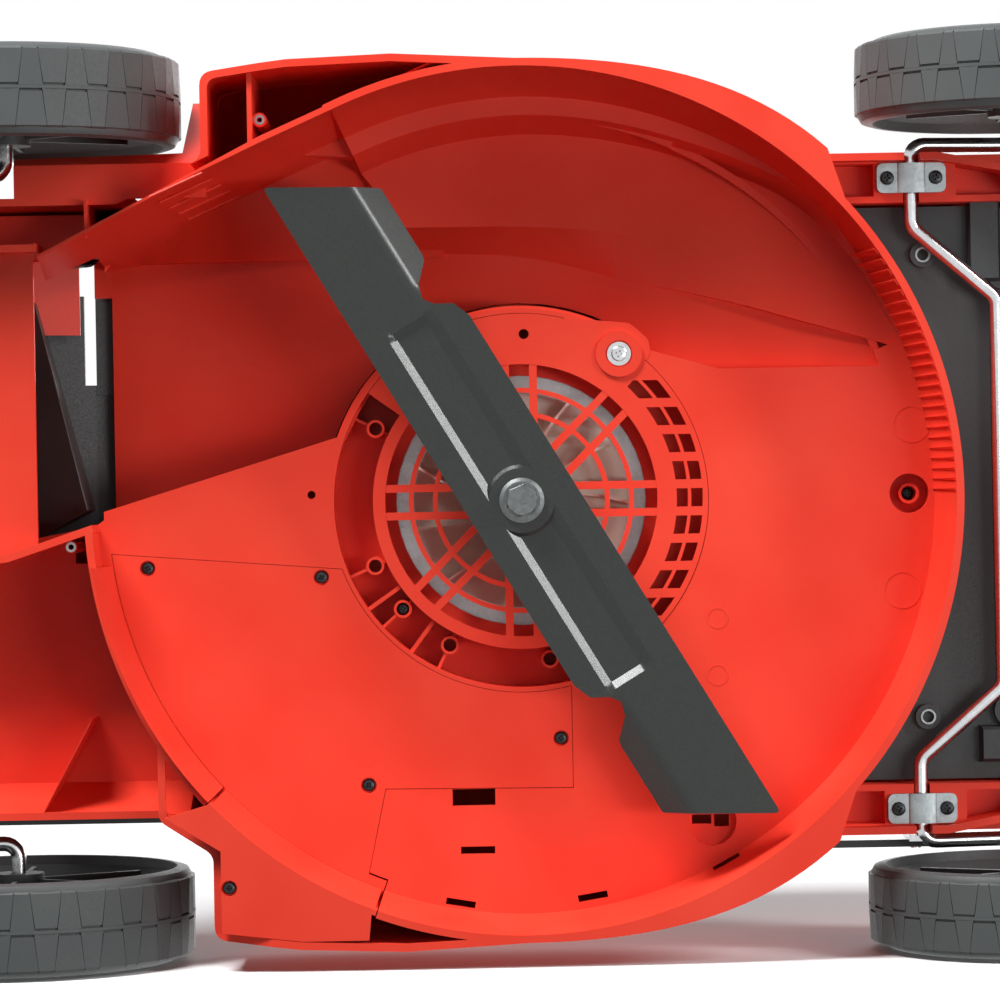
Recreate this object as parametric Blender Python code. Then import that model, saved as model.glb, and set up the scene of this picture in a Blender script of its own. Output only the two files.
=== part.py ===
"""Electric lawn mower with a 43 cm cut and rear discharge, at its lowest height setting.

Metres, +Z up, ground at z = 0. The nose points along -Y and the handle along +Y, so the operator's left is
+X. Every piece is drawn in a frame with the blade's axis at x = y = 0, and the empty "mower_axis" then moves
the whole machine so that its box is centred over the origin.
"""

import math

import bmesh
import bpy
from mathutils import Matrix, Vector

# General
GAP = 0.0003
WALL = 0.004
ROUND_SIDES = 28
DECK_SIDES = 60

# Blade and the skirt around it
CUT_DIAMETER = 0.430
TIP_GAP = 0.0135
BLADE_WIDTH = 0.057
BLADE_THICKNESS = 0.0035
BLADE_TURN = math.radians(-31.0)
BLADE_HEIGHT = 0.035
WING_RISE = 0.012
SKIRT_INNER = CUT_DIAMETER / 2 + TIP_GAP
SKIRT_OUTER = SKIRT_INNER + WALL
RIM_HEIGHT = 0.025
FLANGE_BULGE = 0.0125
FLANGE_START = math.radians(-42.0)
FLANGE_WAVES = 2.2

# Deck housing
PLATE_HEIGHT = 0.080
DECK_TOP = 0.158
BODY_LOW = 0.060
EDGE_LOW = 0.112
NOSE_DRAW = 0.0505
NOSE_ROOM = 0.0675
REAR_DRAW = 0.016
SHOULDER_BACK = 0.165
SHOULDER_GAP = 0.016
PIVOT_TO_REAR = 0.023
NOSE_HALF = SKIRT_OUTER - NOSE_DRAW
NOSE_REACH = SKIRT_OUTER + NOSE_ROOM
NOSE_HEIGHT = 0.118
REAR_HALF = NOSE_HALF - REAR_DRAW
ROOF_REAR = 0.108
TUNNEL_OUTER = SKIRT_INNER - 0.0225
TUNNEL_FRONT_HEIGHT = 0.086
TUNNEL_REAR_HEIGHT = 0.150
TUNNEL_END = SKIRT_INNER - 0.0035
ROOF_BREAK = TUNNEL_END + 0.003
CHUTE_ANGLE = math.radians(155.0)
CHUTE_HALF = REAR_HALF - 0.029
LIP_FRONT = TUNNEL_END + 0.033
LIP_LOW = 0.055
POCKET_RADIUS = 0.101
POCKET_DEPTH = 0.025
RAIL_WIDTH = 0.026
RECESS_RADIUS = 0.0106
RECESS_Y = -(SKIRT_INNER - 0.0195)

# Grille below the fan
GRILLE_RADIUS = 0.080
GRILLE_THICKNESS = 0.004
GRILLE_RINGS = (0.0464, 0.0594)
GRILLE_RING_WIDTH = 0.0026
GRILLE_BAR_OFFSET = 0.00745
GRILLE_BAR_WIDTH = 0.0042
GRILLE_HUB = 0.026
LOBE_RADIUS = 0.0124
LOBE_PLACE = (-0.078, -0.054)

# Motor
SHAFT_RADIUS = 0.008
BOLT_RADIUS = 0.005
FAN_RADIUS = 0.062
FAN_HEIGHT = 0.016
FAN_BLADES = 11
BEARING_RADIUS = 0.016
BEARING_HEIGHT = 0.010
STATOR_RADIUS = 0.062
STATOR_HEIGHT = 0.085
ARMATURE_RADIUS = 0.035
COMMUTATOR_RADIUS = 0.019
COMMUTATOR_HEIGHT = 0.022
BRACKET_HEIGHT = 0.014
HOOD_HALF = 0.142
HOOD_LENGTH = 0.330
HOOD_TOP = 0.285
HOOD_WALL = 0.003
SEAT_RADIUS = 0.108

# Axles, wheels and the height setting
AXLE_RADIUS = 0.004
CRANK_LENGTH = 0.057
CRANK_RISE = 0.010
FRONT_WHEEL_RADIUS = 0.085
REAR_WHEEL_RADIUS = 0.095
FRONT_WHEEL_WIDTH = 0.045
REAR_WHEEL_WIDTH = 0.050
FRONT_WHEEL_GAP = 0.018
WHEEL_OUTER = NOSE_HALF + FRONT_WHEEL_GAP + FRONT_WHEEL_WIDTH
TYRE_WALL = 0.005
CAP_RADIUS = 0.030
FRONT_PIVOT_Y = -(NOSE_REACH - 0.088)
WHEEL_CENTRE_FRONT = FRONT_PIVOT_Y - CRANK_LENGTH
WHEEL_CENTRE_REAR = SHOULDER_BACK + SHOULDER_GAP + REAR_WHEEL_RADIUS
REAR_PIVOT_Y = WHEEL_CENTRE_REAR + CRANK_LENGTH
REAR_REACH = REAR_PIVOT_Y + PIVOT_TO_REAR
FRONT_CRANK_X = NOSE_HALF + 0.005
REAR_CRANK_X = REAR_HALF + 0.015
CLAMP_X = NOSE_HALF - RAIL_WIDTH / 2
REAR_CLAMP_X = REAR_HALF - 0.0145
CLAMP_LENGTH = 0.037
CLAMP_WIDTH = 0.016
CLAMP_THICKNESS = 0.003
ARM_LENGTH = 0.035
TIE_WIDTH = 0.014
TIE_THICKNESS = 0.004
LEVER_LENGTH = 0.185
QUADRANT_RADIUS = 0.150

# Handle
HANDLE_ANGLE = math.radians(50.0)
TUBE_RADIUS = 0.011
LOWER_X = REAR_HALF - 0.023
HANDLE_BASE = (ROOF_BREAK + 0.034, DECK_TOP - 0.008)
LOWER_LENGTH = 0.420
UPPER_LENGTH = 0.560
GRIP_RADIUS = 0.015
GRIP_END_GAP = 0.055
THREAD_RADIUS = 0.003
SOCKET_RADIUS = 0.0163
SOCKET_DEPTH = 0.045
SOCKET_RISE = 0.012
SOCKET_FLOOR = 0.004 - SOCKET_DEPTH
TUBE_WALL = 0.0015

# Switch box, with the places measured from the middle of the grip
BOX_LENGTH = 0.120
BOX_LOW = -0.170
BOX_HIGH = BOX_LOW + BOX_LENGTH
BOX_FRONT = 0.034
BOX_REAR = 0.026
BOX_OUTER_SIDE = 0.024
BOX_INNER_SIDE = 0.064
BOX_BUTTON_SIDE = 0.062
BOX_BUTTON_UP = 0.075
BUTTON_RADIUS = 0.009
INLET_RADIUS = 0.013
LEVER_PIVOT = -0.075
LEVER_ROD = 0.0035
LEVER_REACH = 0.078
LEVER_TURN = math.radians(55.6)

# Rear flap
FLAP_HALF = LOWER_X - 0.025
FLAP_PIN = (TUNNEL_END - 0.004, DECK_TOP + 0.0065)
PIN_RADIUS = 0.0025
KNUCKLE_RADIUS = 0.005
EAR_REACH = 0.009

FRONT_PIVOT_Z = FRONT_WHEEL_RADIUS - CRANK_RISE
REAR_PIVOT_Z = REAR_WHEEL_RADIUS - CRANK_RISE
UPPER_X = LOWER_X + 2 * TUBE_RADIUS + 2 * GAP
POCKET_HEIGHT = PLATE_HEIGHT + POCKET_DEPTH

ALONG = Vector((0, math.cos(HANDLE_ANGLE), math.sin(HANDLE_ANGLE)))
HANDLE_FOOT = Vector((0, *HANDLE_BASE))
HANDLE_PIVOT = HANDLE_FOOT + ALONG * LOWER_LENGTH
HANDLE_END = HANDLE_PIVOT + ALONG * UPPER_LENGTH
REAR_END = HANDLE_END.y + GRIP_RADIUS
FRONT_END = WHEEL_CENTRE_FRONT - FRONT_WHEEL_RADIUS
BLADE_Y = -(FRONT_END + REAR_END) / 2


def clear_scene():
    for thing in list(bpy.data.objects):
        bpy.data.objects.remove(thing, do_unlink=True)


def closed(mesh):
    """Turns all faces of a closed mesh outwards."""
    bmesh.ops.recalc_face_normals(mesh, faces=mesh.faces)
    if mesh.calc_volume(signed=True) < 0:
        bmesh.ops.reverse_faces(mesh, faces=mesh.faces)
    return mesh


def loft(loops):
    """A solid through loops of equally many points, from the first to the last, with flat ends."""
    mesh = bmesh.new()
    rows = [[mesh.verts.new(point) for point in loop] for loop in loops]
    for low, high in zip(rows, rows[1:]):
        for i in range(len(low)):
            j = (i + 1) % len(low)
            mesh.faces.new((low[i], low[j], high[j], high[i]))
    mesh.faces.new(rows[0][::-1])
    mesh.faces.new(rows[-1])
    return closed(mesh)


def prism(outline, low, high):
    """A plan outline pulled up from low to high. Either may be a height, or a function of the point."""

    def level(height, point):
        return height(*point) if callable(height) else height

    return loft([[(x, y, level(z, (x, y))) for x, y in outline] for z in (low, high)])


def side_prism(profile, left, right):
    """A profile of (y, z) points pulled across from left to right."""
    return loft([[(x, y, z) for y, z in profile] for x in (left, right)])


def box(low, high):
    (x0, y0, z0), (x1, y1, z1) = low, high
    return prism([(x0, y0), (x1, y0), (x1, y1), (x0, y1)], z0, z1)


def turned(profile, sides=ROUND_SIDES, start=0.0):
    """A closed profile of (radius, height) points turned round the Z axis."""
    mesh = bmesh.new()
    rings = []
    for radius, height in profile:
        if radius < 1e-7:
            rings.append([mesh.verts.new((0, 0, height))])
            continue
        turns = [start + 2 * math.pi * i / sides for i in range(sides)]
        rings.append([mesh.verts.new((radius * math.cos(a), radius * math.sin(a), height)) for a in turns])
    for one, two in zip(rings, rings[1:] + rings[:1]):
        for i in range(sides):
            j = (i + 1) % sides
            corners = [one[i % len(one)], one[j % len(one)], two[j % len(two)], two[i % len(two)]]
            corners = list(dict.fromkeys(corners))
            if len(corners) > 2:
                mesh.faces.new(corners)
    return closed(mesh)


def disc(radius, low, high, sides=ROUND_SIDES, start=0.0):
    return turned([(0, low), (radius, low), (radius, high), (0, high)], sides, start)


def ring(inner, outer, low, high, sides=ROUND_SIDES):
    return turned([(inner, low), (outer, low), (outer, high), (inner, high)], sides)


def arc(radius, start, end, steps, centre=(0.0, 0.0)):
    turns = [start + (end - start) * i / steps for i in range(steps + 1)]
    return [(centre[0] + radius * math.cos(a), centre[1] + radius * math.sin(a)) for a in turns]


def deck_arc(radius, start, end):
    """Points of an arc round the blade's axis at the deck's own even angles, so that its walls line up."""
    step = 2 * math.pi / DECK_SIDES
    low, high = sorted((start, end))
    inside = [i * step for i in range(math.floor(low / step), math.ceil(high / step) + 1)]
    turns = [low] + [turn for turn in inside if low + step / 4 < turn < high - step / 4] + [high]
    points = [(radius * math.cos(a), radius * math.sin(a)) for a in turns]
    return points if start < end else points[::-1]


def offset(outline, distance):
    """An anticlockwise outline moved inwards by distance, corner by corner."""
    moved = []
    for i, (x, y) in enumerate(outline):
        before = Vector((x, y)) - Vector(outline[i - 1])
        after = Vector(outline[(i + 1) % len(outline)]) - Vector((x, y))
        first = Vector((-before.y, before.x)).normalized()
        second = Vector((-after.y, after.x)).normalized()
        middle = (first + second) / (1 + first.dot(second))
        moved.append((x + middle.x * distance, y + middle.y * distance))
    return moved


def wall_strip(points, thickness, low, high):
    """An upright wall along plan points, on their left side."""
    back = []
    for i, point in enumerate(points):
        here = Vector(point)
        before = (here - Vector(points[i - 1])) if i else Vector(points[1]) - here
        after = (Vector(points[i + 1]) - here) if i + 1 < len(points) else before
        first = Vector((-before.y, before.x)).normalized()
        second = Vector((-after.y, after.x)).normalized()
        middle = (first + second) / (1 + first.dot(second))
        back.append(tuple(here + middle * thickness))
    return prism(list(points) + back[::-1], low, high)


def rounded_path(points, radius, steps=4):
    """The points with each inner corner turned into a bend of the radius."""
    path = [Vector(points[0])]
    for before, corner, after in zip(points, points[1:], points[2:]):
        corner = Vector(corner)
        back = (Vector(before) - corner).normalized()
        ahead = (Vector(after) - corner).normalized()
        half = back.angle(ahead) / 2
        reach = radius / math.tan(half)
        centre = corner + (back + ahead).normalized() * (radius / math.sin(half))
        spoke = corner + back * reach - centre
        first = spoke.normalized()
        last = (corner + ahead * reach - centre).normalized()
        for i in range(steps + 1):
            path.append(centre + first.slerp(last, i / steps) * spoke.length)
    path.append(Vector(points[-1]))
    return path


def rod(path, radius, sides=12):
    """A solid rod along a path of points."""
    path = [Vector(point) for point in path]
    heading = (path[1] - path[0]).normalized()
    side = heading.orthogonal().normalized()
    loops = []
    for i, point in enumerate(path):
        before = (point - path[i - 1]).normalized() if i else heading
        after = (path[i + 1] - point).normalized() if i + 1 < len(path) else before
        tangent = (before + after).normalized()
        side = heading.rotation_difference(before) @ side
        heading = before
        up = heading.cross(side)
        loop = []
        for k in range(sides):
            turn = 2 * math.pi * k / sides
            spoke = side * math.cos(turn) + up * math.sin(turn)
            reach = -spoke.dot(tangent) / heading.dot(tangent)
            loop.append(point + (spoke + heading * reach) * radius)
        loops.append(loop)
    return loft(loops)


def moved(mesh, matrix):
    mesh.transform(matrix)
    return mesh


def shift(mesh, x=0.0, y=0.0, z=0.0):
    return moved(mesh, Matrix.Translation((x, y, z)))


def aimed(mesh, direction, place=(0, 0, 0)):
    """A mesh drawn round +Z, turned to the direction and put at the place."""
    turn = Vector((0, 0, 1)).rotation_difference(Vector(direction)).to_matrix().to_4x4()
    return moved(mesh, Matrix.Translation(place) @ turn)


def mirrored(mesh):
    """The same mesh on the machine's other side."""
    twin = moved(mesh.copy(), Matrix.Scale(-1, 4, (1, 0, 0)))
    bmesh.ops.reverse_faces(twin, faces=twin.faces)
    return twin


def both(mesh):
    return [mesh, mirrored(mesh)]


def combine(first, second, operation):
    """The Boolean of two closed meshes. The manifold solver stays exact where walls share a face."""
    holders = []
    for mesh in (first, second):
        data = bpy.data.meshes.new("shape")
        mesh.to_mesh(data)
        mesh.free()
        holder = bpy.data.objects.new("shape", data)
        bpy.context.scene.collection.objects.link(holder)
        holders.append(holder)
    step = holders[0].modifiers.new("combine", "BOOLEAN")
    step.operation = operation
    step.solver = "MANIFOLD"
    step.object = holders[1]
    graph = bpy.context.evaluated_depsgraph_get()
    data = bpy.data.meshes.new_from_object(holders[0].evaluated_get(graph))
    result = bmesh.new()
    result.from_mesh(data)
    for holder in holders:
        bpy.data.meshes.remove(holder.data)
    bpy.data.meshes.remove(data)
    return result


def fused(*meshes):
    whole = meshes[0]
    for mesh in meshes[1:]:
        whole = combine(whole, mesh, "UNION")
    return whole


def less(whole, *cutters):
    for cutter in cutters:
        whole = combine(whole, cutter, "DIFFERENCE")
    return whole


def common(first, second):
    return combine(first, second, "INTERSECT")


def plain_material(name, colour, roughness, metallic=0.0):
    material = bpy.data.materials.new(name)
    material.use_nodes = True
    shader = material.node_tree.nodes["Principled BSDF"]
    shader.inputs["Base Color"].default_value = (*colour, 1)
    shader.inputs["Roughness"].default_value = roughness
    shader.inputs["Metallic"].default_value = metallic
    material.diffuse_color = (*colour, 1)
    return material


RED = ((0.78, 0.07, 0.035), 0.4, 0.0)
BLACK = ((0.02, 0.021, 0.022), 0.5, 0.0)
DARK_GREY = ((0.05, 0.055, 0.058), 0.6, 0.0)
BLADE_BLACK = ((0.025, 0.028, 0.026), 0.35, 0.6)
STEEL = ((0.55, 0.56, 0.57), 0.3, 1.0)
ZINC = ((0.45, 0.47, 0.48), 0.45, 1.0)
ALUMINIUM = ((0.6, 0.61, 0.62), 0.5, 1.0)
COPPER = ((0.6, 0.25, 0.12), 0.4, 1.0)
PALE = ((0.8, 0.78, 0.72), 0.5, 0.0)
CARBON = ((0.03, 0.03, 0.03), 0.8, 0.0)
RUBBER = ((0.02, 0.02, 0.02), 0.9, 0.0)

BODIES = {}


def body(name, place=(0, 0, 0), parent=None):
    """An empty on a joint's axis, which the body's pieces hang from."""
    empty = bpy.data.objects.new(name + "_axis", None)
    empty.empty_display_size = 0.03
    bpy.context.scene.collection.objects.link(empty)
    if parent:
        empty.parent = BODIES[parent][0]
        empty.location = Vector(place) - BODIES[parent][1]
    BODIES[name] = (empty, Vector(place))
    return empty


def piece(name, mesh, finish, on="mower"):
    """Makes the named object from a mesh drawn in the blade's frame."""
    empty, place = BODIES[on]
    moved(mesh, Matrix.Translation(-place))
    data = bpy.data.meshes.new(name)
    mesh.to_mesh(data)
    mesh.free()
    data.shade_smooth()
    data.set_sharp_from_angle(angle=math.radians(32))
    data.materials.append(plain_material(name, *finish))
    thing = bpy.data.objects.new(name, data)
    bpy.context.scene.collection.objects.link(thing)
    thing.parent = empty
    return thing


def both_sides(points):
    """Points of the +X side, from nose to rear, and their mirror images on the way back."""
    return points + [(-x, y) for x, y in points[::-1]]


def shoulder():
    """The corner of the rim in front of a rear wheel, on the +X side."""
    return [
        (SKIRT_OUTER + 0.0035, SHOULDER_BACK - 0.100),
        (SKIRT_OUTER + 0.0015, SHOULDER_BACK - 0.045),
        (SKIRT_OUTER - 0.004, SHOULDER_BACK + 0.001),
        (REAR_HALF + 0.018, SHOULDER_BACK + 0.001),
        (REAR_HALF, SHOULDER_BACK + 0.030),
    ]


def flank():
    """The rim's outer edge on the +X side, which bulges out of the round towards the front wheel."""
    points = []
    for x, y in deck_arc(1.0, FLANGE_START, 0):
        radius = SKIRT_OUTER + FLANGE_BULGE * math.sin(FLANGE_WAVES * math.atan2(y, x)) ** 2
        points.append((x * radius, y * radius))
    return points


def deck_outline():
    nose = [
        (NOSE_HALF - 0.082, -NOSE_REACH),
        (NOSE_HALF - 0.033, -NOSE_REACH + 0.012),
        (NOSE_HALF - 0.007, -NOSE_REACH + 0.038),
        (NOSE_HALF, -NOSE_REACH + 0.075),
    ]
    return both_sides(nose + flank() + shoulder() + [(REAR_HALF, REAR_REACH)])


def skirt_outline():
    round_part = deck_arc(SKIRT_OUTER, math.radians(-85), FLANGE_START - math.radians(6))
    return both_sides(round_part + flank() + shoulder())


def roof_at(y):
    """The deck's height behind the break of its roof."""
    return DECK_TOP - (DECK_TOP - ROOF_REAR) * (y - ROOF_BREAK) / (REAR_REACH - ROOF_BREAK)


def roof(lowered):
    """The side view of the deck's top, as a profile of (y, z), lowered for the inside of the shell."""
    far = REAR_REACH + 0.02
    top = [
        (-NOSE_REACH - 0.02, NOSE_HEIGHT - 0.006),
        (-NOSE_REACH + 0.010, NOSE_HEIGHT),
        (-NOSE_REACH + 0.050, NOSE_HEIGHT + 0.014),
        (-NOSE_REACH + 0.130, DECK_TOP - 0.008),
        (-0.100, DECK_TOP),
        (ROOF_BREAK, DECK_TOP),
        (far, roof_at(far)),
    ]
    return [(-NOSE_REACH - 0.02, 0.0)] + [(y, z - lowered) for y, z in top] + [(far, 0.0)]


def body_block(inset, low, lowered):
    """The deck's body as a solid block, drawn in by the inset."""
    levels = (
        (low, 0.0, 0.0),
        (EDGE_LOW, 0.0, 0.2),
        (EDGE_LOW + 0.022, 0.004, 0.5),
        (DECK_TOP - 0.009, 0.012, 0.9),
        (DECK_TOP + 0.001, 0.024, 1.0),
    )
    loops = []
    for height, draw, share in levels:
        points = offset(deck_outline(), inset + draw)
        loops.append([(x, y, height - lowered * share) for x, y in points])
    across = SKIRT_OUTER + 0.05
    return common(loft(loops), side_prism(roof(lowered), -across, across))


CHUTE_ALONG = Vector((math.sin(CHUTE_ANGLE), -math.cos(CHUTE_ANGLE)))
CHUTE_OUT = Vector((math.cos(CHUTE_ANGLE), math.sin(CHUTE_ANGLE)))
CHUTE_INNER = [(0.009, SKIRT_INNER), (0.024, SKIRT_INNER + 0.0465), (0.032, REAR_REACH)]
STEP_INNER = 0.069


def tunnel_slope(x, y):
    """The ceiling's height above a plan point of the deep channel."""
    share = (y + TUNNEL_OUTER) / (TUNNEL_END + TUNNEL_OUTER)
    return TUNNEL_FRONT_HEIGHT + (TUNNEL_REAR_HEIGHT - TUNNEL_FRONT_HEIGHT) * share


def chute_outer():
    """The outer wall's inner face: off the skirt at a tangent, then straight to the rear."""
    start = CHUTE_OUT * SKIRT_INNER
    reach = (-CHUTE_HALF - start.x) / CHUTE_ALONG.x
    return [tuple(start), tuple(start + CHUTE_ALONG * reach), (-CHUTE_HALF, REAR_REACH)]


def tunnel_outline(rear):
    """Plan of the deep channel from its front end to where the rear cuts it off."""
    start, corner = Vector(chute_outer()[0]), Vector(chute_outer()[1])
    outer_end = start.lerp(corner, (rear - start.y) / (corner.y - start.y))
    front = -math.pi / 2 - math.asin(STEP_INNER / TUNNEL_OUTER)
    outer = arc(TUNNEL_OUTER, front, CHUTE_ANGLE - 2 * math.pi, 20)
    side = [tuple(start + CHUTE_ALONG * 0.045), tuple(outer_end)]
    knee = TUNNEL_END - 0.007
    inner = [((rear - knee) * 0.3, rear), (0.0, knee), (-0.036, 0.098)]
    platform = arc(POCKET_RADIUS + 0.0025, math.radians(115), math.radians(218), 12)
    return (outer + side + inner + platform + [(-STEP_INNER, -0.108)])[::-1]


def cover_outline(gap):
    """Plan of the part of the cover plate in the low plate's level, made larger by the gap."""
    outer = deck_arc(SKIRT_INNER - 0.006, math.radians(21), math.radians(83.5))
    inner = arc(POCKET_RADIUS + 0.0025, math.radians(70), math.radians(-14), 12)
    steps = [(0.155, inner[-1][1]), (0.154, 0.076), (SKIRT_INNER - 0.0255, 0.0866)]
    return offset([inner[-1]] + steps + outer + inner[:-1], -gap)


COVER_SIDES = (math.radians(20.5), math.radians(47.0))
COVER_SLACK = math.radians(0.15)


def sector(inner, outer, start, end, low, high):
    """Part of a ring between two angles."""
    return prism(deck_arc(outer, start, end) + deck_arc(inner, end, start), low, high)


def cover_corner(gap):
    """The shoulder's flat rim between the skirt and the shell, as a plan outline."""
    start, end = COVER_SIDES
    shell = offset(skirt_outline(), WALL + GAP - gap)
    low_y = SKIRT_OUTER * math.sin(start)
    rim = deck_arc(SKIRT_OUTER - 0.002, end, start + 0.01)
    far = [point for point in shell if point[0] > SKIRT_OUTER * math.cos(end) and point[1] > low_y + 0.01]
    return rim + [(far[0][0], low_y + 0.003)] + far


TIE_REAR_X = REAR_HALF + 0.0045
TIE_FRONT_X = FRONT_CRANK_X + 0.0035
REAR_PIN_Z = REAR_PIVOT_Z + ARM_LENGTH
FRONT_PIN_Z = FRONT_PIVOT_Z + ARM_LENGTH


def tie_height(x, y):
    share = (y - FRONT_PIVOT_Y) / (REAR_PIVOT_Y - FRONT_PIVOT_Y)
    return FRONT_PIN_Z + (REAR_PIN_Z - FRONT_PIN_Z) * share


COVER_THICKNESS = WALL - 0.001
FRONT_COVER_HEIGHT = PLATE_HEIGHT + 0.008
SCREW_POSTS = [
    (0.033, SKIRT_INNER - 0.0259),
    (0.040, 0.109),
    (0.128, -0.019),
    (0.152, 0.085),
    (SKIRT_OUTER - 0.0315, SHOULDER_BACK - 0.0075),
]
FRONT_POST = (NOSE_HALF - 0.064, -(NOSE_REACH - 0.038))
FRONT_POSTS = [FRONT_POST, (-FRONT_POST[0], FRONT_POST[1])]
POCKET_TUBES = [(-0.040, 0.078), (0.034, 0.0795), (0.0575, 0.065), (0.0775, 0.040), (0.086, -0.0139)]
POST_RADIUS = 0.005
TUBE_BOSS_RADIUS = 0.0045


def handle_place(mesh, x):
    """A mesh drawn round +Z from the handle's foot, laid along the handle."""
    return aimed(mesh, ALONG, HANDLE_FOOT + Vector((x, 0, 0)))


def across(mesh, x, y, z):
    """A mesh drawn round +Z, laid along +X from the point."""
    return aimed(mesh, (1, 0, 0), (x, y, z))


def hood_outline(half, length):
    """A rounded oblong in plan, half wide on each side and as long as the length."""
    points = []
    for i in range(ROUND_SIDES):
        turn = 2 * math.pi * i / ROUND_SIDES
        c, s = math.cos(turn), math.sin(turn)
        points.append(
            (half * math.copysign(abs(c) ** 0.75, c), length / 2 * math.copysign(abs(s) ** 0.75, s))
        )
    return points


def deck_housing():
    shell = fused(body_block(0, BODY_LOW, 0), prism(skirt_outline(), RIM_HEIGHT, EDGE_LOW - 0.01))
    shell = less(
        shell,
        body_block(WALL, BODY_LOW - 0.02, WALL),
        prism(offset(skirt_outline(), WALL), RIM_HEIGHT - 0.01, EDGE_LOW + 0.001),
        disc(SKIRT_INNER, RIM_HEIGHT - 0.02, PLATE_HEIGHT + 0.01, DECK_SIDES),
    )
    rim_start = math.atan2(CHUTE_INNER[0][1], CHUTE_INNER[0][0])
    rim_end = CHUTE_ANGLE - 2 * math.pi
    rim = deck_arc(SKIRT_OUTER, rim_end, rim_start) + deck_arc(SKIRT_INNER, rim_start, rim_end)
    shell = fused(
        shell,
        prism(rim, RIM_HEIGHT, PLATE_HEIGHT + WALL),
        disc(SKIRT_INNER + 0.001, PLATE_HEIGHT, PLATE_HEIGHT + WALL, DECK_SIDES),
        prism(
            offset(tunnel_outline(TUNNEL_END), -WALL),
            PLATE_HEIGHT,
            lambda x, y: tunnel_slope(x, y) + WALL,
        ),
        wall_strip(chute_outer()[::-1], -WALL, RIM_HEIGHT, TUNNEL_REAR_HEIGHT + 0.02),
        wall_strip(CHUTE_INNER, -WALL, RIM_HEIGHT, TUNNEL_REAR_HEIGHT + 0.02),
    )
    wide = SKIRT_OUTER + 0.05
    far = REAR_REACH
    under = [(-NOSE_REACH - 0.02, 0.0), (0.13, RIM_HEIGHT - 0.001), (LIP_FRONT, BODY_LOW - 0.008)]
    kept = under + [(far, BODY_LOW), (far, roof_at(far))] + roof(0)[-3:0:-1]
    shell = common(shell, side_prism(kept, -wide, wide))
    outer_start, outer_corner, outer_far = chute_outer()
    mouth = [
        outer_corner,
        (outer_start[0] * 0.72, TUNNEL_END),
        (CHUTE_INNER[0][0] - 0.001, TUNNEL_END),
        *CHUTE_INNER[:-1],
        (CHUTE_INNER[-1][0], REAR_REACH + 0.02),
        (outer_far[0], REAR_REACH + 0.02),
    ]
    shell = less(
        shell,
        prism(tunnel_outline(TUNNEL_END + 0.001), RIM_HEIGHT - 0.02, tunnel_slope),
        prism(mouth, RIM_HEIGHT - 0.02, DECK_TOP + 0.05),
    )
    return shell


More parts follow.
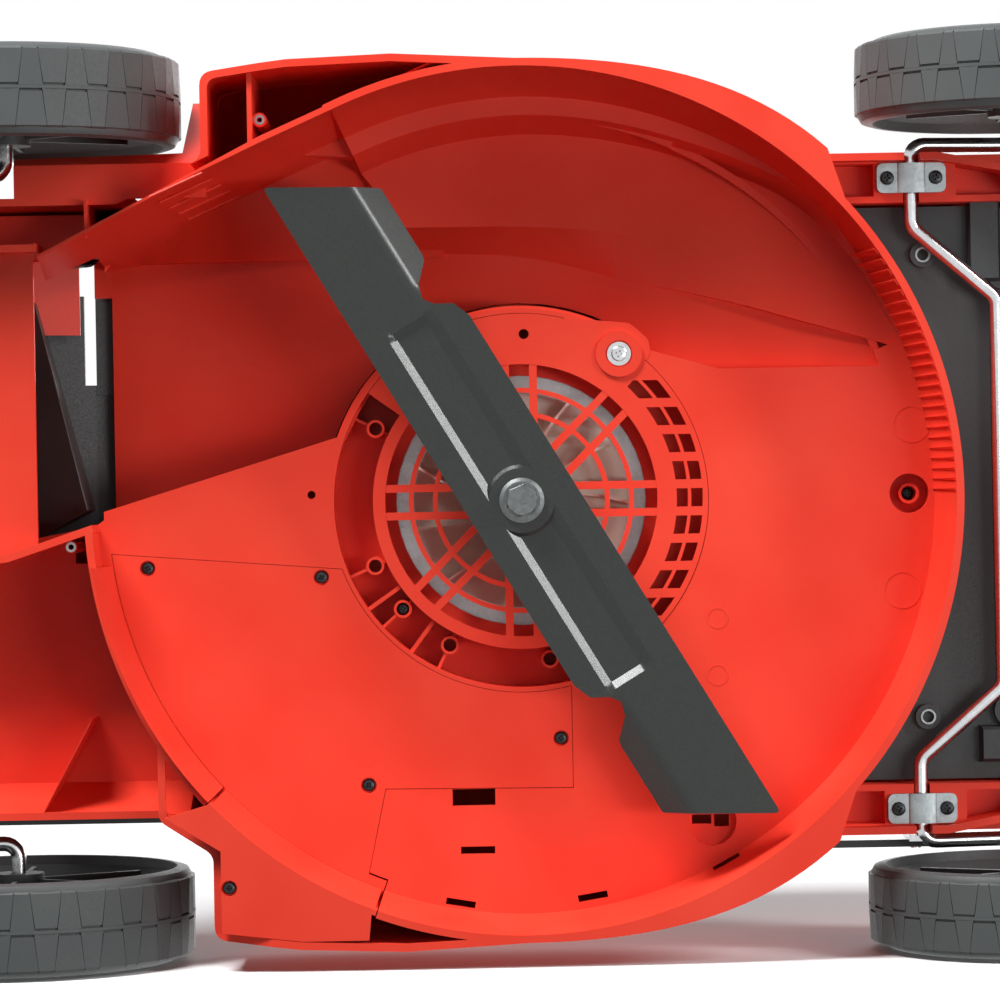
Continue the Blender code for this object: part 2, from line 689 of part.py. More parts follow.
def housing_details(shell):
    """Adds the lip, rails, seats, posts and sockets to the shell, then cuts its openings."""
    lip = [
        (LIP_FRONT, LIP_LOW),
        (REAR_REACH, ROOF_REAR - 0.010),
        (REAR_REACH, ROOF_REAR - 0.006),
        (LIP_FRONT, LIP_LOW + WALL),
    ]
    rail = box(
        (NOSE_HALF - RAIL_WIDTH, FRONT_PIVOT_Y - 0.075, FRONT_PIVOT_Z - AXLE_RADIUS),
        (NOSE_HALF - 0.001, FRONT_PIVOT_Y + 0.022, FRONT_PIVOT_Z + 0.017),
    )
    block = box(
        (REAR_CLAMP_X - 0.012, REAR_PIVOT_Y - 0.022, REAR_PIVOT_Z - AXLE_RADIUS),
        (REAR_HALF - 0.001, REAR_REACH - 0.001, REAR_PIVOT_Z + 0.014),
    )
    ear = box(
        (FLAP_HALF + 0.003, FLAP_PIN[0] - 0.006, DECK_TOP - WALL / 2),
        (FLAP_HALF + EAR_REACH, FLAP_PIN[0] + 0.006, FLAP_PIN[1] + 0.006),
    )
    socket = handle_place(disc(SOCKET_RADIUS, -SOCKET_DEPTH, SOCKET_RISE, 20), LOWER_X)
    additions = [side_prism(lip, -CHUTE_HALF - WALL / 2, CHUTE_INNER[-1][0] + WALL / 2)]
    lune = flank() + deck_arc(SKIRT_OUTER - 0.001, 0, FLANGE_START - math.radians(6))
    flange = prism(lune, RIM_HEIGHT, EDGE_LOW - 0.010)
    for shape in (rail, block, ear, socket, flange):
        additions += both(shape)
    pocket_top = POCKET_HEIGHT + WALL
    pocket_low = PLATE_HEIGHT + 0.001
    additions.append(ring(POCKET_RADIUS, POCKET_RADIUS + WALL, pocket_low, pocket_top, DECK_SIDES))
    additions.append(disc(POCKET_RADIUS + 0.001, POCKET_HEIGHT, pocket_top, DECK_SIDES))
    seat = hood_outline(HOOD_HALF - 0.004, HOOD_LENGTH - 0.008)
    additions.append(prism(seat, DECK_TOP - 0.020, DECK_TOP + 0.002))
    for x, y in SCREW_POSTS[:-1]:
        low = PLATE_HEIGHT + COVER_THICKNESS + GAP
        additions.append(shift(disc(POST_RADIUS, low, DECK_TOP - WALL / 2, 10), x, y))
    corner = disc(POST_RADIUS, RIM_HEIGHT + COVER_THICKNESS + GAP, EDGE_LOW, 10)
    additions.append(shift(corner, *SCREW_POSTS[-1]))
    for x, y in FRONT_POSTS:
        low = FRONT_COVER_HEIGHT + WALL + GAP
        additions.append(shift(disc(POST_RADIUS, low, NOSE_HEIGHT + 0.0075, 10), x, y))
    for x, y in POCKET_TUBES:
        additions.append(shift(disc(TUBE_BOSS_RADIUS, PLATE_HEIGHT + 0.003, POCKET_HEIGHT + 0.001, 10), x, y))
    shell = fused(shell, *additions)
    plate_low, plate_top = PLATE_HEIGHT - 0.010, PLATE_HEIGHT + WALL + 0.001
    start, end = COVER_SIDES[0] - COVER_SLACK, COVER_SIDES[1] + COVER_SLACK
    cutters = [
        disc(SEAT_RADIUS, POCKET_HEIGHT + WALL, DECK_TOP + 0.02),
        disc(POCKET_RADIUS, plate_low, PLATE_HEIGHT + WALL + 0.0005, DECK_SIDES),
        shift(disc(LOBE_RADIUS + GAP, plate_low, PLATE_HEIGHT + WALL + 0.0005, 20), *LOBE_PLACE),
        disc(GRILLE_RADIUS - 0.012, POCKET_HEIGHT - 0.01, POCKET_HEIGHT + WALL + 0.01),
        prism(cover_outline(GAP), plate_low, plate_top),
        sector(SKIRT_INNER - 0.012, SKIRT_OUTER + 0.001, start, end, RIM_HEIGHT - 0.01, plate_top),
        shift(disc(RECESS_RADIUS, PLATE_HEIGHT - 0.001, plate_top, 20), 0, RECESS_Y),
    ]
    reach = SKIRT_OUTER + 0.02
    inside = NOSE_HALF - RAIL_WIDTH - 0.002
    for y, z in ((FRONT_PIVOT_Y, FRONT_PIVOT_Z), (REAR_PIVOT_Y, REAR_PIVOT_Z)):
        half = AXLE_RADIUS + GAP
        near = inside if y == FRONT_PIVOT_Y else 0
        cutters += both(box((near, y - half, RIM_HEIGHT), (reach, y + half, z + half)))
    cutters += both(handle_place(disc(TUBE_RADIUS + GAP, SOCKET_FLOOR, 0.05, 20), LOWER_X))
    cross = -math.sqrt(SKIRT_OUTER**2 - TIE_FRONT_X**2)
    tie_slots = (
        (TIE_REAR_X, SHOULDER_BACK - 0.010, SHOULDER_BACK + 0.040),
        (TIE_FRONT_X, cross - 0.032, cross + 0.018),
    )
    for x, front, back in tie_slots:
        slot_low, slot_high = PLATE_HEIGHT + 0.012, PLATE_HEIGHT + 0.052
        cutters.append(box((x - 0.004, front, slot_low), (x + 0.005, back, slot_high)))
    cutters.append(across(disc(PIN_RADIUS + GAP, -FLAP_HALF - 0.03, FLAP_HALF + 0.03, 12), 0, *FLAP_PIN))
    return less(shell, *cutters)


def deck_cover_plate():
    thick = COVER_THICKNESS
    start, end = COVER_SIDES
    return fused(
        prism(cover_outline(0), PLATE_HEIGHT, PLATE_HEIGHT + thick),
        sector(SKIRT_INNER - 0.011, SKIRT_INNER + thick, start, end, PLATE_HEIGHT, PLATE_HEIGHT + thick),
        sector(SKIRT_INNER, SKIRT_INNER + thick, start, end, RIM_HEIGHT, PLATE_HEIGHT + thick),
        prism(cover_corner(0), RIM_HEIGHT, RIM_HEIGHT + thick),
    )


def grille_bar(turn, side):
    """One bar of a pair that runs beside a radius, from the hub to the outer ring."""
    offset_y = side * GRILLE_BAR_OFFSET
    half = GRILLE_BAR_WIDTH / 2
    start = math.sqrt(max(GRILLE_HUB**2 - offset_y**2, 0)) - 0.003
    end = GRILLE_RADIUS - 0.004
    bar = box(
        (start, offset_y - half, PLATE_HEIGHT), (end, offset_y + half, PLATE_HEIGHT + GRILLE_THICKNESS)
    )
    return moved(bar, Matrix.Rotation(turn, 4, "Z"))


def cooling_grille():
    top = PLATE_HEIGHT + GRILLE_THICKNESS
    shroud = ring(GRILLE_RADIUS - 0.0066, GRILLE_RADIUS, PLATE_HEIGHT, top)
    wall = ring(GRILLE_RADIUS - 0.003, GRILLE_RADIUS, PLATE_HEIGHT + 0.001, POCKET_HEIGHT - GAP)
    hub = ring(GRILLE_HUB - 0.004, GRILLE_HUB, PLATE_HEIGHT, top, 32)
    platform = sector(
        GRILLE_RADIUS - 0.002, POCKET_RADIUS - GAP, math.radians(122), math.radians(340), PLATE_HEIGHT, top
    )
    lobe = shift(disc(LOBE_RADIUS, PLATE_HEIGHT - 0.001, top, 20), *LOBE_PLACE)
    parts = [shroud, wall, hub, platform, lobe]
    for radius in GRILLE_RINGS:
        half = GRILLE_RING_WIDTH / 2
        parts.append(ring(radius - half, radius + half, PLATE_HEIGHT, top, 24))
    for i in range(8):
        for side in (-1, 1):
            parts.append(grille_bar(i * math.pi / 4, side))
    return fused(*parts)


BLADE_POINTS = [
    (-0.2125, 0.0285),
    (-0.1800, -0.0245),
    (-0.1350, -0.0243),
    (-0.1257, -0.0143),
    (-0.1180, -0.0119),
    (-0.1125, -0.0159),
    (-0.1060, -0.0254),
    (-0.0975, -0.0285),
]


def oblong(half_x, half_y, z):
    return [(-half_x, -half_y, z), (half_x, -half_y, z), (half_x, half_y, z), (-half_x, half_y, z)]


def cutting_blade():
    low, high = BLADE_HEIGHT, BLADE_HEIGHT + BLADE_THICKNESS
    length = CUT_DIAMETER / 0.430
    width = BLADE_WIDTH / 0.057
    half = [(x * length, y * width) for x, y in BLADE_POINTS]
    outline = half + [(-x, -y) for x, y in half]
    plate = prism(outline[::-1], low, high)
    for turn in (0, math.pi):
        wing_from, wing_to = -0.176 * length, -0.137 * length
        edge = -0.0240 * width
        loops = []
        for x in (wing_from, wing_to):
            loops.append(
                [
                    (x, edge + 0.010, low + 0.0005),
                    (x + 0.002, edge, low + WING_RISE),
                    (x + 0.002, edge, low + WING_RISE + BLADE_THICKNESS - 0.001),
                    (x, edge + 0.010, high - 0.0005),
                ]
            )
        plate = fused(plate, moved(loft(loops), Matrix.Rotation(turn, 4, "Z")))
    panel = 0.1085 * length
    groove = loft([oblong(panel, 0.0127, low - 0.001), oblong(panel - 0.004, 0.009, low + 0.0014)])
    seat = disc(0.019, low, low + 0.0022, 24)
    plate = fused(less(plate, groove), seat)
    plate = less(plate, disc(BOLT_RADIUS + GAP, low - 0.01, high + 0.01, 24))
    return moved(plate, Matrix.Rotation(BLADE_TURN, 4, "Z"))


ADAPTER_LOW = BLADE_HEIGHT + BLADE_THICKNESS + GAP
SHAFT_LOW = ADAPTER_LOW + 0.011
ADAPTER_TOP = PLATE_HEIGHT - 0.0015
FAN_TOP = POCKET_HEIGHT - 0.003
BRACKET_LOW = POCKET_HEIGHT + WALL + GAP
STATOR_LOW = BRACKET_LOW + 0.006 + GAP
STATOR_TOP = STATOR_LOW + STATOR_HEIGHT
UPPER_LOW = STATOR_TOP + GAP
UPPER_PLATE = UPPER_LOW + 0.030
SHAFT_TOP = UPPER_PLATE + 0.016


def blade_bolt():
    low = BLADE_HEIGHT - GAP
    head = disc(0.0087, low - 0.0098, low - 0.0020, 6)
    washer = disc(0.012, low - 0.0024, low, 24)
    return fused(head, washer, disc(BOLT_RADIUS, low - 0.001, SHAFT_LOW + 0.018, 16))


def blade_adapter():
    bore, seat = BOLT_RADIUS + GAP, SHAFT_RADIUS + GAP
    return turned(
        [
            (bore, ADAPTER_LOW),
            (0.025, ADAPTER_LOW),
            (0.025, ADAPTER_LOW + 0.006),
            (0.018, ADAPTER_LOW + 0.009),
            (0.018, ADAPTER_TOP),
            (seat, ADAPTER_TOP),
            (seat, SHAFT_LOW - GAP),
            (bore, SHAFT_LOW - GAP),
        ],
        32,
    )


def motor_shaft():
    rod_shape = disc(SHAFT_RADIUS, SHAFT_LOW, SHAFT_TOP, 24)
    return less(rod_shape, disc(BOLT_RADIUS + GAP, SHAFT_LOW - 0.01, SHAFT_LOW + 0.022, 16))


def cooling_fan():
    low = FAN_TOP - FAN_HEIGHT
    hub = ring(SHAFT_RADIUS + GAP, 0.015, low, FAN_TOP, 24)
    parts = [hub, ring(0.013, FAN_RADIUS, FAN_TOP - 0.002, FAN_TOP)]
    curve = [(0.022, -0.001), (0.042, 0.003), (FAN_RADIUS - 0.001, 0.011)]
    outline = curve + [(x, y + 0.002) for x, y in curve[::-1]]
    for i in range(FAN_BLADES):
        blade = prism(outline, low, FAN_TOP - 0.001)
        parts.append(moved(blade, Matrix.Rotation(2 * math.pi * i / FAN_BLADES, 4, "Z")))
    return fused(*parts)


def bearing(low):
    return ring(SHAFT_RADIUS + GAP, BEARING_RADIUS, low, low + BEARING_HEIGHT, 24)


def motor_lower_bracket():
    low = BRACKET_LOW
    cup = BEARING_RADIUS + GAP
    return turned(
        [
            (SHAFT_RADIUS + 0.002, low),
            (STATOR_RADIUS + 0.010, low),
            (STATOR_RADIUS + 0.010, low + 0.006),
            (cup + 0.006, low + 0.006),
            (cup + 0.006, low + BRACKET_HEIGHT),
            (cup, low + BRACKET_HEIGHT),
            (cup, low + 0.003),
            (SHAFT_RADIUS + 0.002, low + 0.003),
        ]
    )


def motor_upper_bracket():
    low, plate = UPPER_LOW, UPPER_PLATE
    cup = BEARING_RADIUS + GAP
    return turned(
        [
            (STATOR_RADIUS - 0.005, low),
            (STATOR_RADIUS, low),
            (STATOR_RADIUS, plate + 0.006),
            (cup + 0.006, plate + 0.006),
            (cup + 0.006, plate + BRACKET_HEIGHT),
            (cup, plate + BRACKET_HEIGHT),
            (cup, plate + 0.003),
            (SHAFT_RADIUS + 0.002, plate + 0.003),
            (SHAFT_RADIUS + 0.002, plate),
            (STATOR_RADIUS - 0.005, plate),
        ]
    )


def carbon_brush(side):
    inner = COMMUTATOR_RADIUS + GAP
    outer = (STATOR_RADIUS - 0.005) * math.cos(math.pi / ROUND_SIDES) - 2 * GAP
    low, high = sorted((side * inner, side * outer))
    return box((low, -0.005, UPPER_LOW + 0.006), (high, 0.005, UPPER_LOW + 0.016))


def motor_hood():
    levels = (
        (DECK_TOP + 0.002 + GAP, 0.0),
        (DECK_TOP + 0.042, 0.002),
        (DECK_TOP + 0.084, 0.014),
        (HOOD_TOP - 0.018, 0.036),
        (HOOD_TOP - 0.004, 0.066),
        (HOOD_TOP, 0.095),
    )
    outer, inner = [], []
    for i, (height, draw) in enumerate(levels):
        size = (HOOD_HALF - draw, HOOD_LENGTH - 2 * draw)
        outer.append([(x, y, height) for x, y in hood_outline(*size)])
        low = height - (0.01 if i == 0 else HOOD_WALL * 0.8)
        inner_size = (size[0] - HOOD_WALL, size[1] - 2 * HOOD_WALL)
        inner.append([(x, y, low) for x, y in hood_outline(*inner_size)])
    hood = less(loft(outer), loft(inner))
    slots = []
    for i in range(6):
        height = DECK_TOP + 0.022 + i * 0.009
        slots.append(box((-HOOD_HALF - 0.02, -0.045, height), (HOOD_HALF + 0.02, 0.045, height + 0.004)))
    return less(hood, *slots)


def front_cover():
    low = FRONT_COVER_HEIGHT
    half = NOSE_HALF - RAIL_WIDTH - GAP - 0.001
    inner = SKIRT_OUTER + 0.003
    side = math.asin(half / inner)
    edge = deck_arc(inner, -math.pi / 2 + side, -math.pi / 2 - side)
    front = -NOSE_REACH + WALL + 0.012
    outline = [(-half, front + 0.024), (-half + 0.020, front), (half - 0.020, front), (half, front + 0.024)]
    plate = prism(outline + edge, low, low + WALL)
    bosses = [shift(disc(0.009, low - 0.006, low + 0.001, 20), x, y) for x, y in FRONT_POSTS]
    return fused(plate, *bosses)


def axle_path(stub, crank_x, pivot_y, pivot_z, wheel_y, wheel_z, middle):
    half = [(stub, wheel_y, wheel_z), (crank_x, wheel_y, wheel_z), (crank_x, pivot_y, pivot_z)] + middle
    return rounded_path(half + [(-x, y, z) for x, y, z in half[::-1]], AXLE_RADIUS + 0.0004, 3)


def crank_arm(x, thickness, pivot_y, pivot_z):
    """The short lever on an axle that the tie rod pins to."""
    half = 0.007
    profile = [
        (pivot_y - half, pivot_z - 0.002),
        (pivot_y + half, pivot_z - 0.002),
        (pivot_y + half, pivot_z + ARM_LENGTH + 0.004),
        (pivot_y + half - 0.004, pivot_z + ARM_LENGTH + half),
        (pivot_y - half + 0.004, pivot_z + ARM_LENGTH + half),
        (pivot_y - half, pivot_z + ARM_LENGTH + 0.004),
    ]
    return side_prism(profile, x - thickness / 2, x + thickness / 2)


LINK_PIN = 0.003


def front_axle():
    middle = [
        (NOSE_HALF - 0.039, FRONT_PIVOT_Y, FRONT_PIVOT_Z),
        (NOSE_HALF - 0.078, FRONT_PIVOT_Y - 0.045, FRONT_PIVOT_Z),
    ]
    stub = WHEEL_OUTER - 0.0065
    path = axle_path(
        stub, FRONT_CRANK_X, FRONT_PIVOT_Y, FRONT_PIVOT_Z, WHEEL_CENTRE_FRONT, FRONT_WHEEL_RADIUS, middle
    )
    arm_x = FRONT_CRANK_X - 0.0015
    pin = disc(LINK_PIN, 0, TIE_FRONT_X + TIE_THICKNESS / 2 + 0.001 - arm_x, 12)
    return fused(
        rod(path, AXLE_RADIUS, 10),
        crank_arm(arm_x, 0.003, FRONT_PIVOT_Y, FRONT_PIVOT_Z),
        across(pin, arm_x, FRONT_PIVOT_Y, FRONT_PIN_Z),
    )


REAR_ARM_X = TIE_REAR_X + TIE_THICKNESS / 2 + 0.0025


def rear_axle():
    stub = WHEEL_OUTER - 0.0065
    path = axle_path(
        stub, REAR_CRANK_X, REAR_PIVOT_Y, REAR_PIVOT_Z, WHEEL_CENTRE_REAR, REAR_WHEEL_RADIUS, []
    )
    start = TIE_REAR_X - TIE_THICKNESS / 2 - 0.0008
    return fused(
        rod(path, AXLE_RADIUS, 10),
        crank_arm(REAR_ARM_X, 0.003, REAR_PIVOT_Y, REAR_PIVOT_Z),
        across(disc(LINK_PIN, 0, REAR_ARM_X - start, 12), start, REAR_PIVOT_Y, REAR_PIN_Z),
    )


def height_tie_rod():
    half = TIE_THICKNESS / 2
    width = TIE_WIDTH / 2
    route = [
        (TIE_REAR_X, REAR_PIVOT_Y + 0.009),
        (TIE_REAR_X, SHOULDER_BACK + 0.005),
        (TIE_FRONT_X, -0.050),
        (TIE_FRONT_X, FRONT_PIVOT_Y - 0.009),
    ]
    start = [(x + half, y) for x, y in route]
    bar = wall_strip(
        start, -TIE_THICKNESS, lambda x, y: tie_height(x, y) - width, lambda x, y: tie_height(x, y) + width
    )
    return less(
        bar,
        across(disc(LINK_PIN + GAP, -0.01, 0.01, 12), TIE_REAR_X, REAR_PIVOT_Y, REAR_PIN_Z),
        across(disc(LINK_PIN + 0.0012, -0.01, 0.01, 12), TIE_FRONT_X, FRONT_PIVOT_Y, FRONT_PIN_Z),
    )


LEVER_X = REAR_CRANK_X + AXLE_RADIUS + GAP + 0.0015
LEVER_TOP = REAR_PIVOT_Z + LEVER_LENGTH


def height_lever():
    half = 0.008
    y = REAR_PIVOT_Y
    profile = [
        (y - 0.022, REAR_PIVOT_Z - half - 0.002),
        (y + half, REAR_PIVOT_Z - half),
        (y + half, REAR_PIVOT_Z + 0.100),
        (y + half + 0.012, LEVER_TOP),
        (y - half + 0.012, LEVER_TOP),
        (y - half, REAR_PIVOT_Z + 0.100),
        (y - half, REAR_PIVOT_Z + 0.020),
        (y - 0.022, REAR_PIVOT_Z + half - 0.002),
    ]
    plate = side_prism(profile, LEVER_X - 0.0015, LEVER_X + 0.0015)
    inner = QUADRANT_X + 0.0015 + GAP
    peg_z = REAR_PIVOT_Z + QUADRANT_RADIUS - 0.010
    peg = across(disc(0.003, 0, LEVER_X - inner, 12), inner, y + 0.004, peg_z)
    return fused(plate, peg)


QUADRANT_X = REAR_HALF + GAP + 0.0015


def height_quadrant():
    """A notched arc that rises from the deck's left wall, round the rear axle."""
    centre = (REAR_PIVOT_Y, REAR_PIVOT_Z)
    outer = arc(QUADRANT_RADIUS, math.radians(84), math.radians(136), 10, centre)
    inner = arc(QUADRANT_RADIUS - 0.020, math.radians(124), math.radians(84), 8, centre)
    foot = [(-0.125, 0.047), (-0.083, 0.047), (-0.077, 0.065)]
    foot = [(REAR_PIVOT_Y + y, REAR_PIVOT_Z + z) for y, z in foot]
    plate = side_prism(outer + foot + inner, QUADRANT_X - 0.0015, QUADRANT_X + 0.0015)
    notches = []
    for i in range(6):
        turn = math.radians(88 + 8 * i)
        y = REAR_PIVOT_Y + QUADRANT_RADIUS * math.cos(turn)
        z = REAR_PIVOT_Z + QUADRANT_RADIUS * math.sin(turn)
        notches.append(across(disc(0.004, -0.01, 0.01, 8), QUADRANT_X, y, z))
    return less(plate, *notches)


def lever_grip():
    loops = []
    for height, half_x, half_y in (
        (-0.018, 0.006, 0.010),
        (-0.014, 0.008, 0.012),
        (0.012, 0.009, 0.014),
        (0.020, 0.007, 0.010),
    ):
        circle = arc(1.0, 0, 2 * math.pi * 15 / 16, 15)
        loops.append([(x * half_x, y * half_y, height) for x, y in circle])
    grip = shift(loft(loops), LEVER_X, REAR_PIVOT_Y + 0.0115, LEVER_TOP)
    return less(
        grip,
        box(
            (LEVER_X - 0.0015 - GAP, REAR_PIVOT_Y - 0.02, LEVER_TOP - 0.03),
            (LEVER_X + 0.0015 + GAP, REAR_PIVOT_Y + 0.04, LEVER_TOP + GAP),
        ),
    )


def wheel(radius, width):
    """A hard plastic wheel, open on its inner side, drawn round +Z from its inner face."""
    bore = AXLE_RADIUS + GAP
    recess = CAP_RADIUS + GAP
    profile = [
        (radius - 0.003, 0.0),
        (radius, 0.003),
        (radius, width - 0.006),
        (radius - 0.006, width),
        (radius - 0.018, width),
        (radius - 0.022, width - 0.008),
        (recess + 0.004, width - 0.008),
        (recess, width - 0.001),
        (recess, width - 0.006),
        (bore, width - 0.006),
        (bore, 0.002),
        (0.014, 0.002),
        (0.015, width - 0.012),
        (radius - 0.024, width - 0.012),
        (radius - TYRE_WALL, 0.0),
    ]
    flat = 1 / math.cos(math.pi / ROUND_SIDES)
    profile = [(r * flat if r > radius / 2 else r, z) for r, z in profile]
    return turned(profile, ROUND_SIDES, math.pi / ROUND_SIDES)


def hub_cap(width):
    low = width - 0.006 + GAP
    edge = CAP_RADIUS - 0.003
    profile = [(0, low), (CAP_RADIUS, low), (CAP_RADIUS, width - 0.002), (edge, width), (0, width)]
    return turned(profile, 24)


def clamp(x, y, pivot_z):
    top = pivot_z - AXLE_RADIUS - GAP
    half_x, half_y = CLAMP_WIDTH / 2, CLAMP_LENGTH / 2
    corner = 0.003
    outline = [
        (-half_x, -half_y + corner),
        (-half_x + corner, -half_y),
        (half_x - corner, -half_y),
        (half_x, -half_y + corner),
        (half_x, half_y - corner),
        (half_x - corner, half_y),
        (-half_x + corner, half_y),
        (-half_x, half_y - corner),
    ]
    plate = prism(outline, top - CLAMP_THICKNESS, top)
    holes = [shift(disc(0.0025, top - 0.01, top + 0.01, 12), 0, side * 0.013) for side in (-1, 1)]
    return shift(less(plate, *holes), x, y)


def lower_handle(side):
    low, high = SOCKET_FLOOR + GAP, LOWER_LENGTH + 0.030
    tube = handle_place(ring(TUBE_RADIUS - TUBE_WALL, TUBE_RADIUS, low, high, 20), side * LOWER_X)
    hole = across(disc(THREAD_RADIUS + GAP, -0.03, 0.03, 12), side * LOWER_X, HANDLE_PIVOT.y, HANDLE_PIVOT.z)
    return less(tube, hole)


def upper_handle():
    start = HANDLE_PIVOT - ALONG * 0.025
    path = rounded_path(
        [
            (UPPER_X, start.y, start.z),
            (UPPER_X, HANDLE_END.y, HANDLE_END.z),
            (-UPPER_X, HANDLE_END.y, HANDLE_END.z),
            (-UPPER_X, start.y, start.z),
        ],
        0.045,
        5,
    )
    longer = [path[0] - ALONG * 0.01] + path[1:-1] + [path[-1] - ALONG * 0.01]
    tube = less(rod(path, TUBE_RADIUS, 14), rod(longer, TUBE_RADIUS - TUBE_WALL, 14))
    reach = UPPER_X + 0.03
    hole = across(disc(THREAD_RADIUS + GAP, -reach, reach, 12), 0, HANDLE_PIVOT.y, HANDLE_PIVOT.z)
    return less(tube, hole)


def handle_grip():
    half = UPPER_X - GRIP_END_GAP
    tube = ring(TUBE_RADIUS + GAP, GRIP_RADIUS, -half, half, 24)
    return across(tube, 0, HANDLE_END.y, HANDLE_END.z)


BOX_X = (-UPPER_X - BOX_OUTER_SIDE, -UPPER_X + BOX_INNER_SIDE)
INLET_X = BOX_X[0] + BOX_BUTTON_SIDE
BUTTON_PLACE = (INLET_X, BOX_LOW + BOX_BUTTON_UP)


def handle_mesh(mesh):
    """A mesh drawn in the handle's frame: x across, y up the handle from the grip, z to its front."""
    front = Vector((1, 0, 0)).cross(ALONG)
    frame = Matrix((Vector((1, 0, 0)), ALONG, front)).transposed().to_4x4()
    return moved(mesh, Matrix.Translation(HANDLE_END) @ frame)


def box_shell(depth):
    """Half of the switch box, from the tube's middle plane to the depth."""
    toward = 1 if depth > 0 else -1
    outline = [(BOX_X[0], BOX_LOW), (BOX_X[1], BOX_LOW), (BOX_X[1], BOX_HIGH), (BOX_X[0], BOX_HIGH)]
    loops = []
    for inset, height in (
        (0.0, toward * GAP / 2),
        (0.001, depth - toward * 0.010),
        (0.005, depth - toward * 0.003),
        (0.010, depth),
    ):
        loops.append([(x, y, height) for x, y in offset(outline, inset)])
    room = [(BOX_X[0] + 0.040, y) if x == BOX_X[0] else (x, y) for x, y in outline]
    hollow = []
    for inset, height in (
        (0.003, -toward * 0.01),
        (0.004, depth - toward * 0.010),
        (0.009, depth - toward * 0.003),
    ):
        hollow.append([(x, y, height) for x, y in offset(room, inset)])
    return less(
        loft(loops),
        loft(hollow),
        aimed(disc(TUBE_RADIUS + GAP, -0.3, 0.1, 20), (0, 1, 0), (-UPPER_X, 0, 0)),
        aimed(disc(LEVER_ROD + GAP, -0.012, 0.03, 12), (1, 0, 0), (BOX_X[1], LEVER_PIVOT, 0)),
        aimed(disc(INLET_RADIUS + GAP, -0.006, 0.03, 20), (0, -1, 0), (INLET_X, BOX_LOW, 0)),
    )


def box_front():
    window = shift(disc(BUTTON_RADIUS + GAP, 0.01, 0.05, 20), *BUTTON_PLACE)
    return handle_mesh(less(box_shell(BOX_FRONT), window))


def box_back():
    return handle_mesh(box_shell(-BOX_REAR))


def lock_button():
    low, high = 0.020, BOX_FRONT + 0.007
    profile = [
        (0, low),
        (BUTTON_RADIUS, low),
        (BUTTON_RADIUS, high - 0.002),
        (BUTTON_RADIUS - 0.002, high),
        (0, high),
    ]
    return handle_mesh(shift(turned(profile, 20), *BUTTON_PLACE))


def power_inlet():
    rim = INLET_RADIUS - 0.002
    profile = [
        (0, -0.005),
        (INLET_RADIUS, -0.005),
        (INLET_RADIUS, 0.018),
        (rim, 0.018),
        (rim, 0.001),
        (0, 0.001),
    ]
    return handle_mesh(aimed(turned(profile, 20), (0, -1, 0), (INLET_X, BOX_LOW, 0)))


def start_lever():
    bar_y = LEVER_PIVOT + LEVER_REACH * math.cos(LEVER_TURN)
    bar_z = LEVER_REACH * math.sin(LEVER_TURN)
    right = BOX_X[1]
    left = UPPER_X - TUBE_RADIUS - GAP
    path = rounded_path(
        [
            (right - 0.010, LEVER_PIVOT, 0),
            (right + 0.009, LEVER_PIVOT, 0),
            (right + 0.014, bar_y, bar_z),
            (left - 0.016, bar_y, bar_z),
            (left - 0.010, LEVER_PIVOT, 0),
            (left, LEVER_PIVOT, 0),
        ],
        0.005,
        3,
    )
    return handle_mesh(rod(path, LEVER_ROD, 10))


def cable_hook():
    path = rounded_path(
        [
            (BOX_X[0] + 0.010, BOX_LOW - GAP, -0.012),
            (BOX_X[0] + 0.010, BOX_LOW - 0.030, -0.012),
            (BOX_X[0] + 0.010, BOX_LOW - 0.030, -0.034),
            (BOX_X[0] + 0.010, BOX_LOW - 0.008, -0.034),
        ],
        0.007,
        3,
    )
    return handle_mesh(rod(path, 0.004, 10))


def handle_bolt(side):
    inner = LOWER_X - TUBE_RADIUS - GAP
    outer = UPPER_X + TUBE_RADIUS + 0.016
    head = turned([(0, -0.004), (0.007, -0.003), (0.008, 0), (0, 0)], 20)
    bolt = fused(shift(head, 0, 0, inner), disc(THREAD_RADIUS, inner - 0.001, outer, 12))
    return aimed(bolt, (side, 0, 0), (0, HANDLE_PIVOT.y, HANDLE_PIVOT.z))


def wing_knob(side):
    low = UPPER_X + TUBE_RADIUS + GAP
    core = turned([(0, low), (0.011, low), (0.009, low + 0.012), (0.007, low + 0.020), (0, low + 0.020)], 20)
    wing = box((-0.020, -0.003, low + 0.005), (0.020, 0.003, low + 0.021))
    knob = less(fused(core, wing), disc(THREAD_RADIUS + GAP, low - 0.01, low + 0.017, 12))
    return aimed(knob, (side, 0, 0), (0, HANDLE_PIVOT.y, HANDLE_PIVOT.z))


def rear_flap():
    y, z = FLAP_PIN
    end = REAR_REACH + 0.002
    lift = GAP * 2
    thick = 0.003
    profile = [
        (y, z - 0.004),
        (ROOF_BREAK, DECK_TOP + lift),
        (end, roof_at(end) + lift),
        (end + 0.003, roof_at(end) - 0.010),
        (end + 0.006, roof_at(end) - 0.010),
        (end + 0.004, roof_at(end) + lift + thick),
        (ROOF_BREAK + 0.002, DECK_TOP + lift + thick),
        (y, z),
    ]
    barrel = across(disc(KNUCKLE_RADIUS, -FLAP_HALF, FLAP_HALF, 16), 0, y, z)
    bore = across(disc(PIN_RADIUS + GAP, -FLAP_HALF - 0.01, FLAP_HALF + 0.01, 12), 0, y, z)
    notch = box((-0.114, y + KNUCKLE_RADIUS + 0.0015, z - 0.02), (-0.064, y + 0.013, z + 0.02))
    return less(fused(side_prism(profile, -FLAP_HALF, FLAP_HALF), barrel), bore, notch)


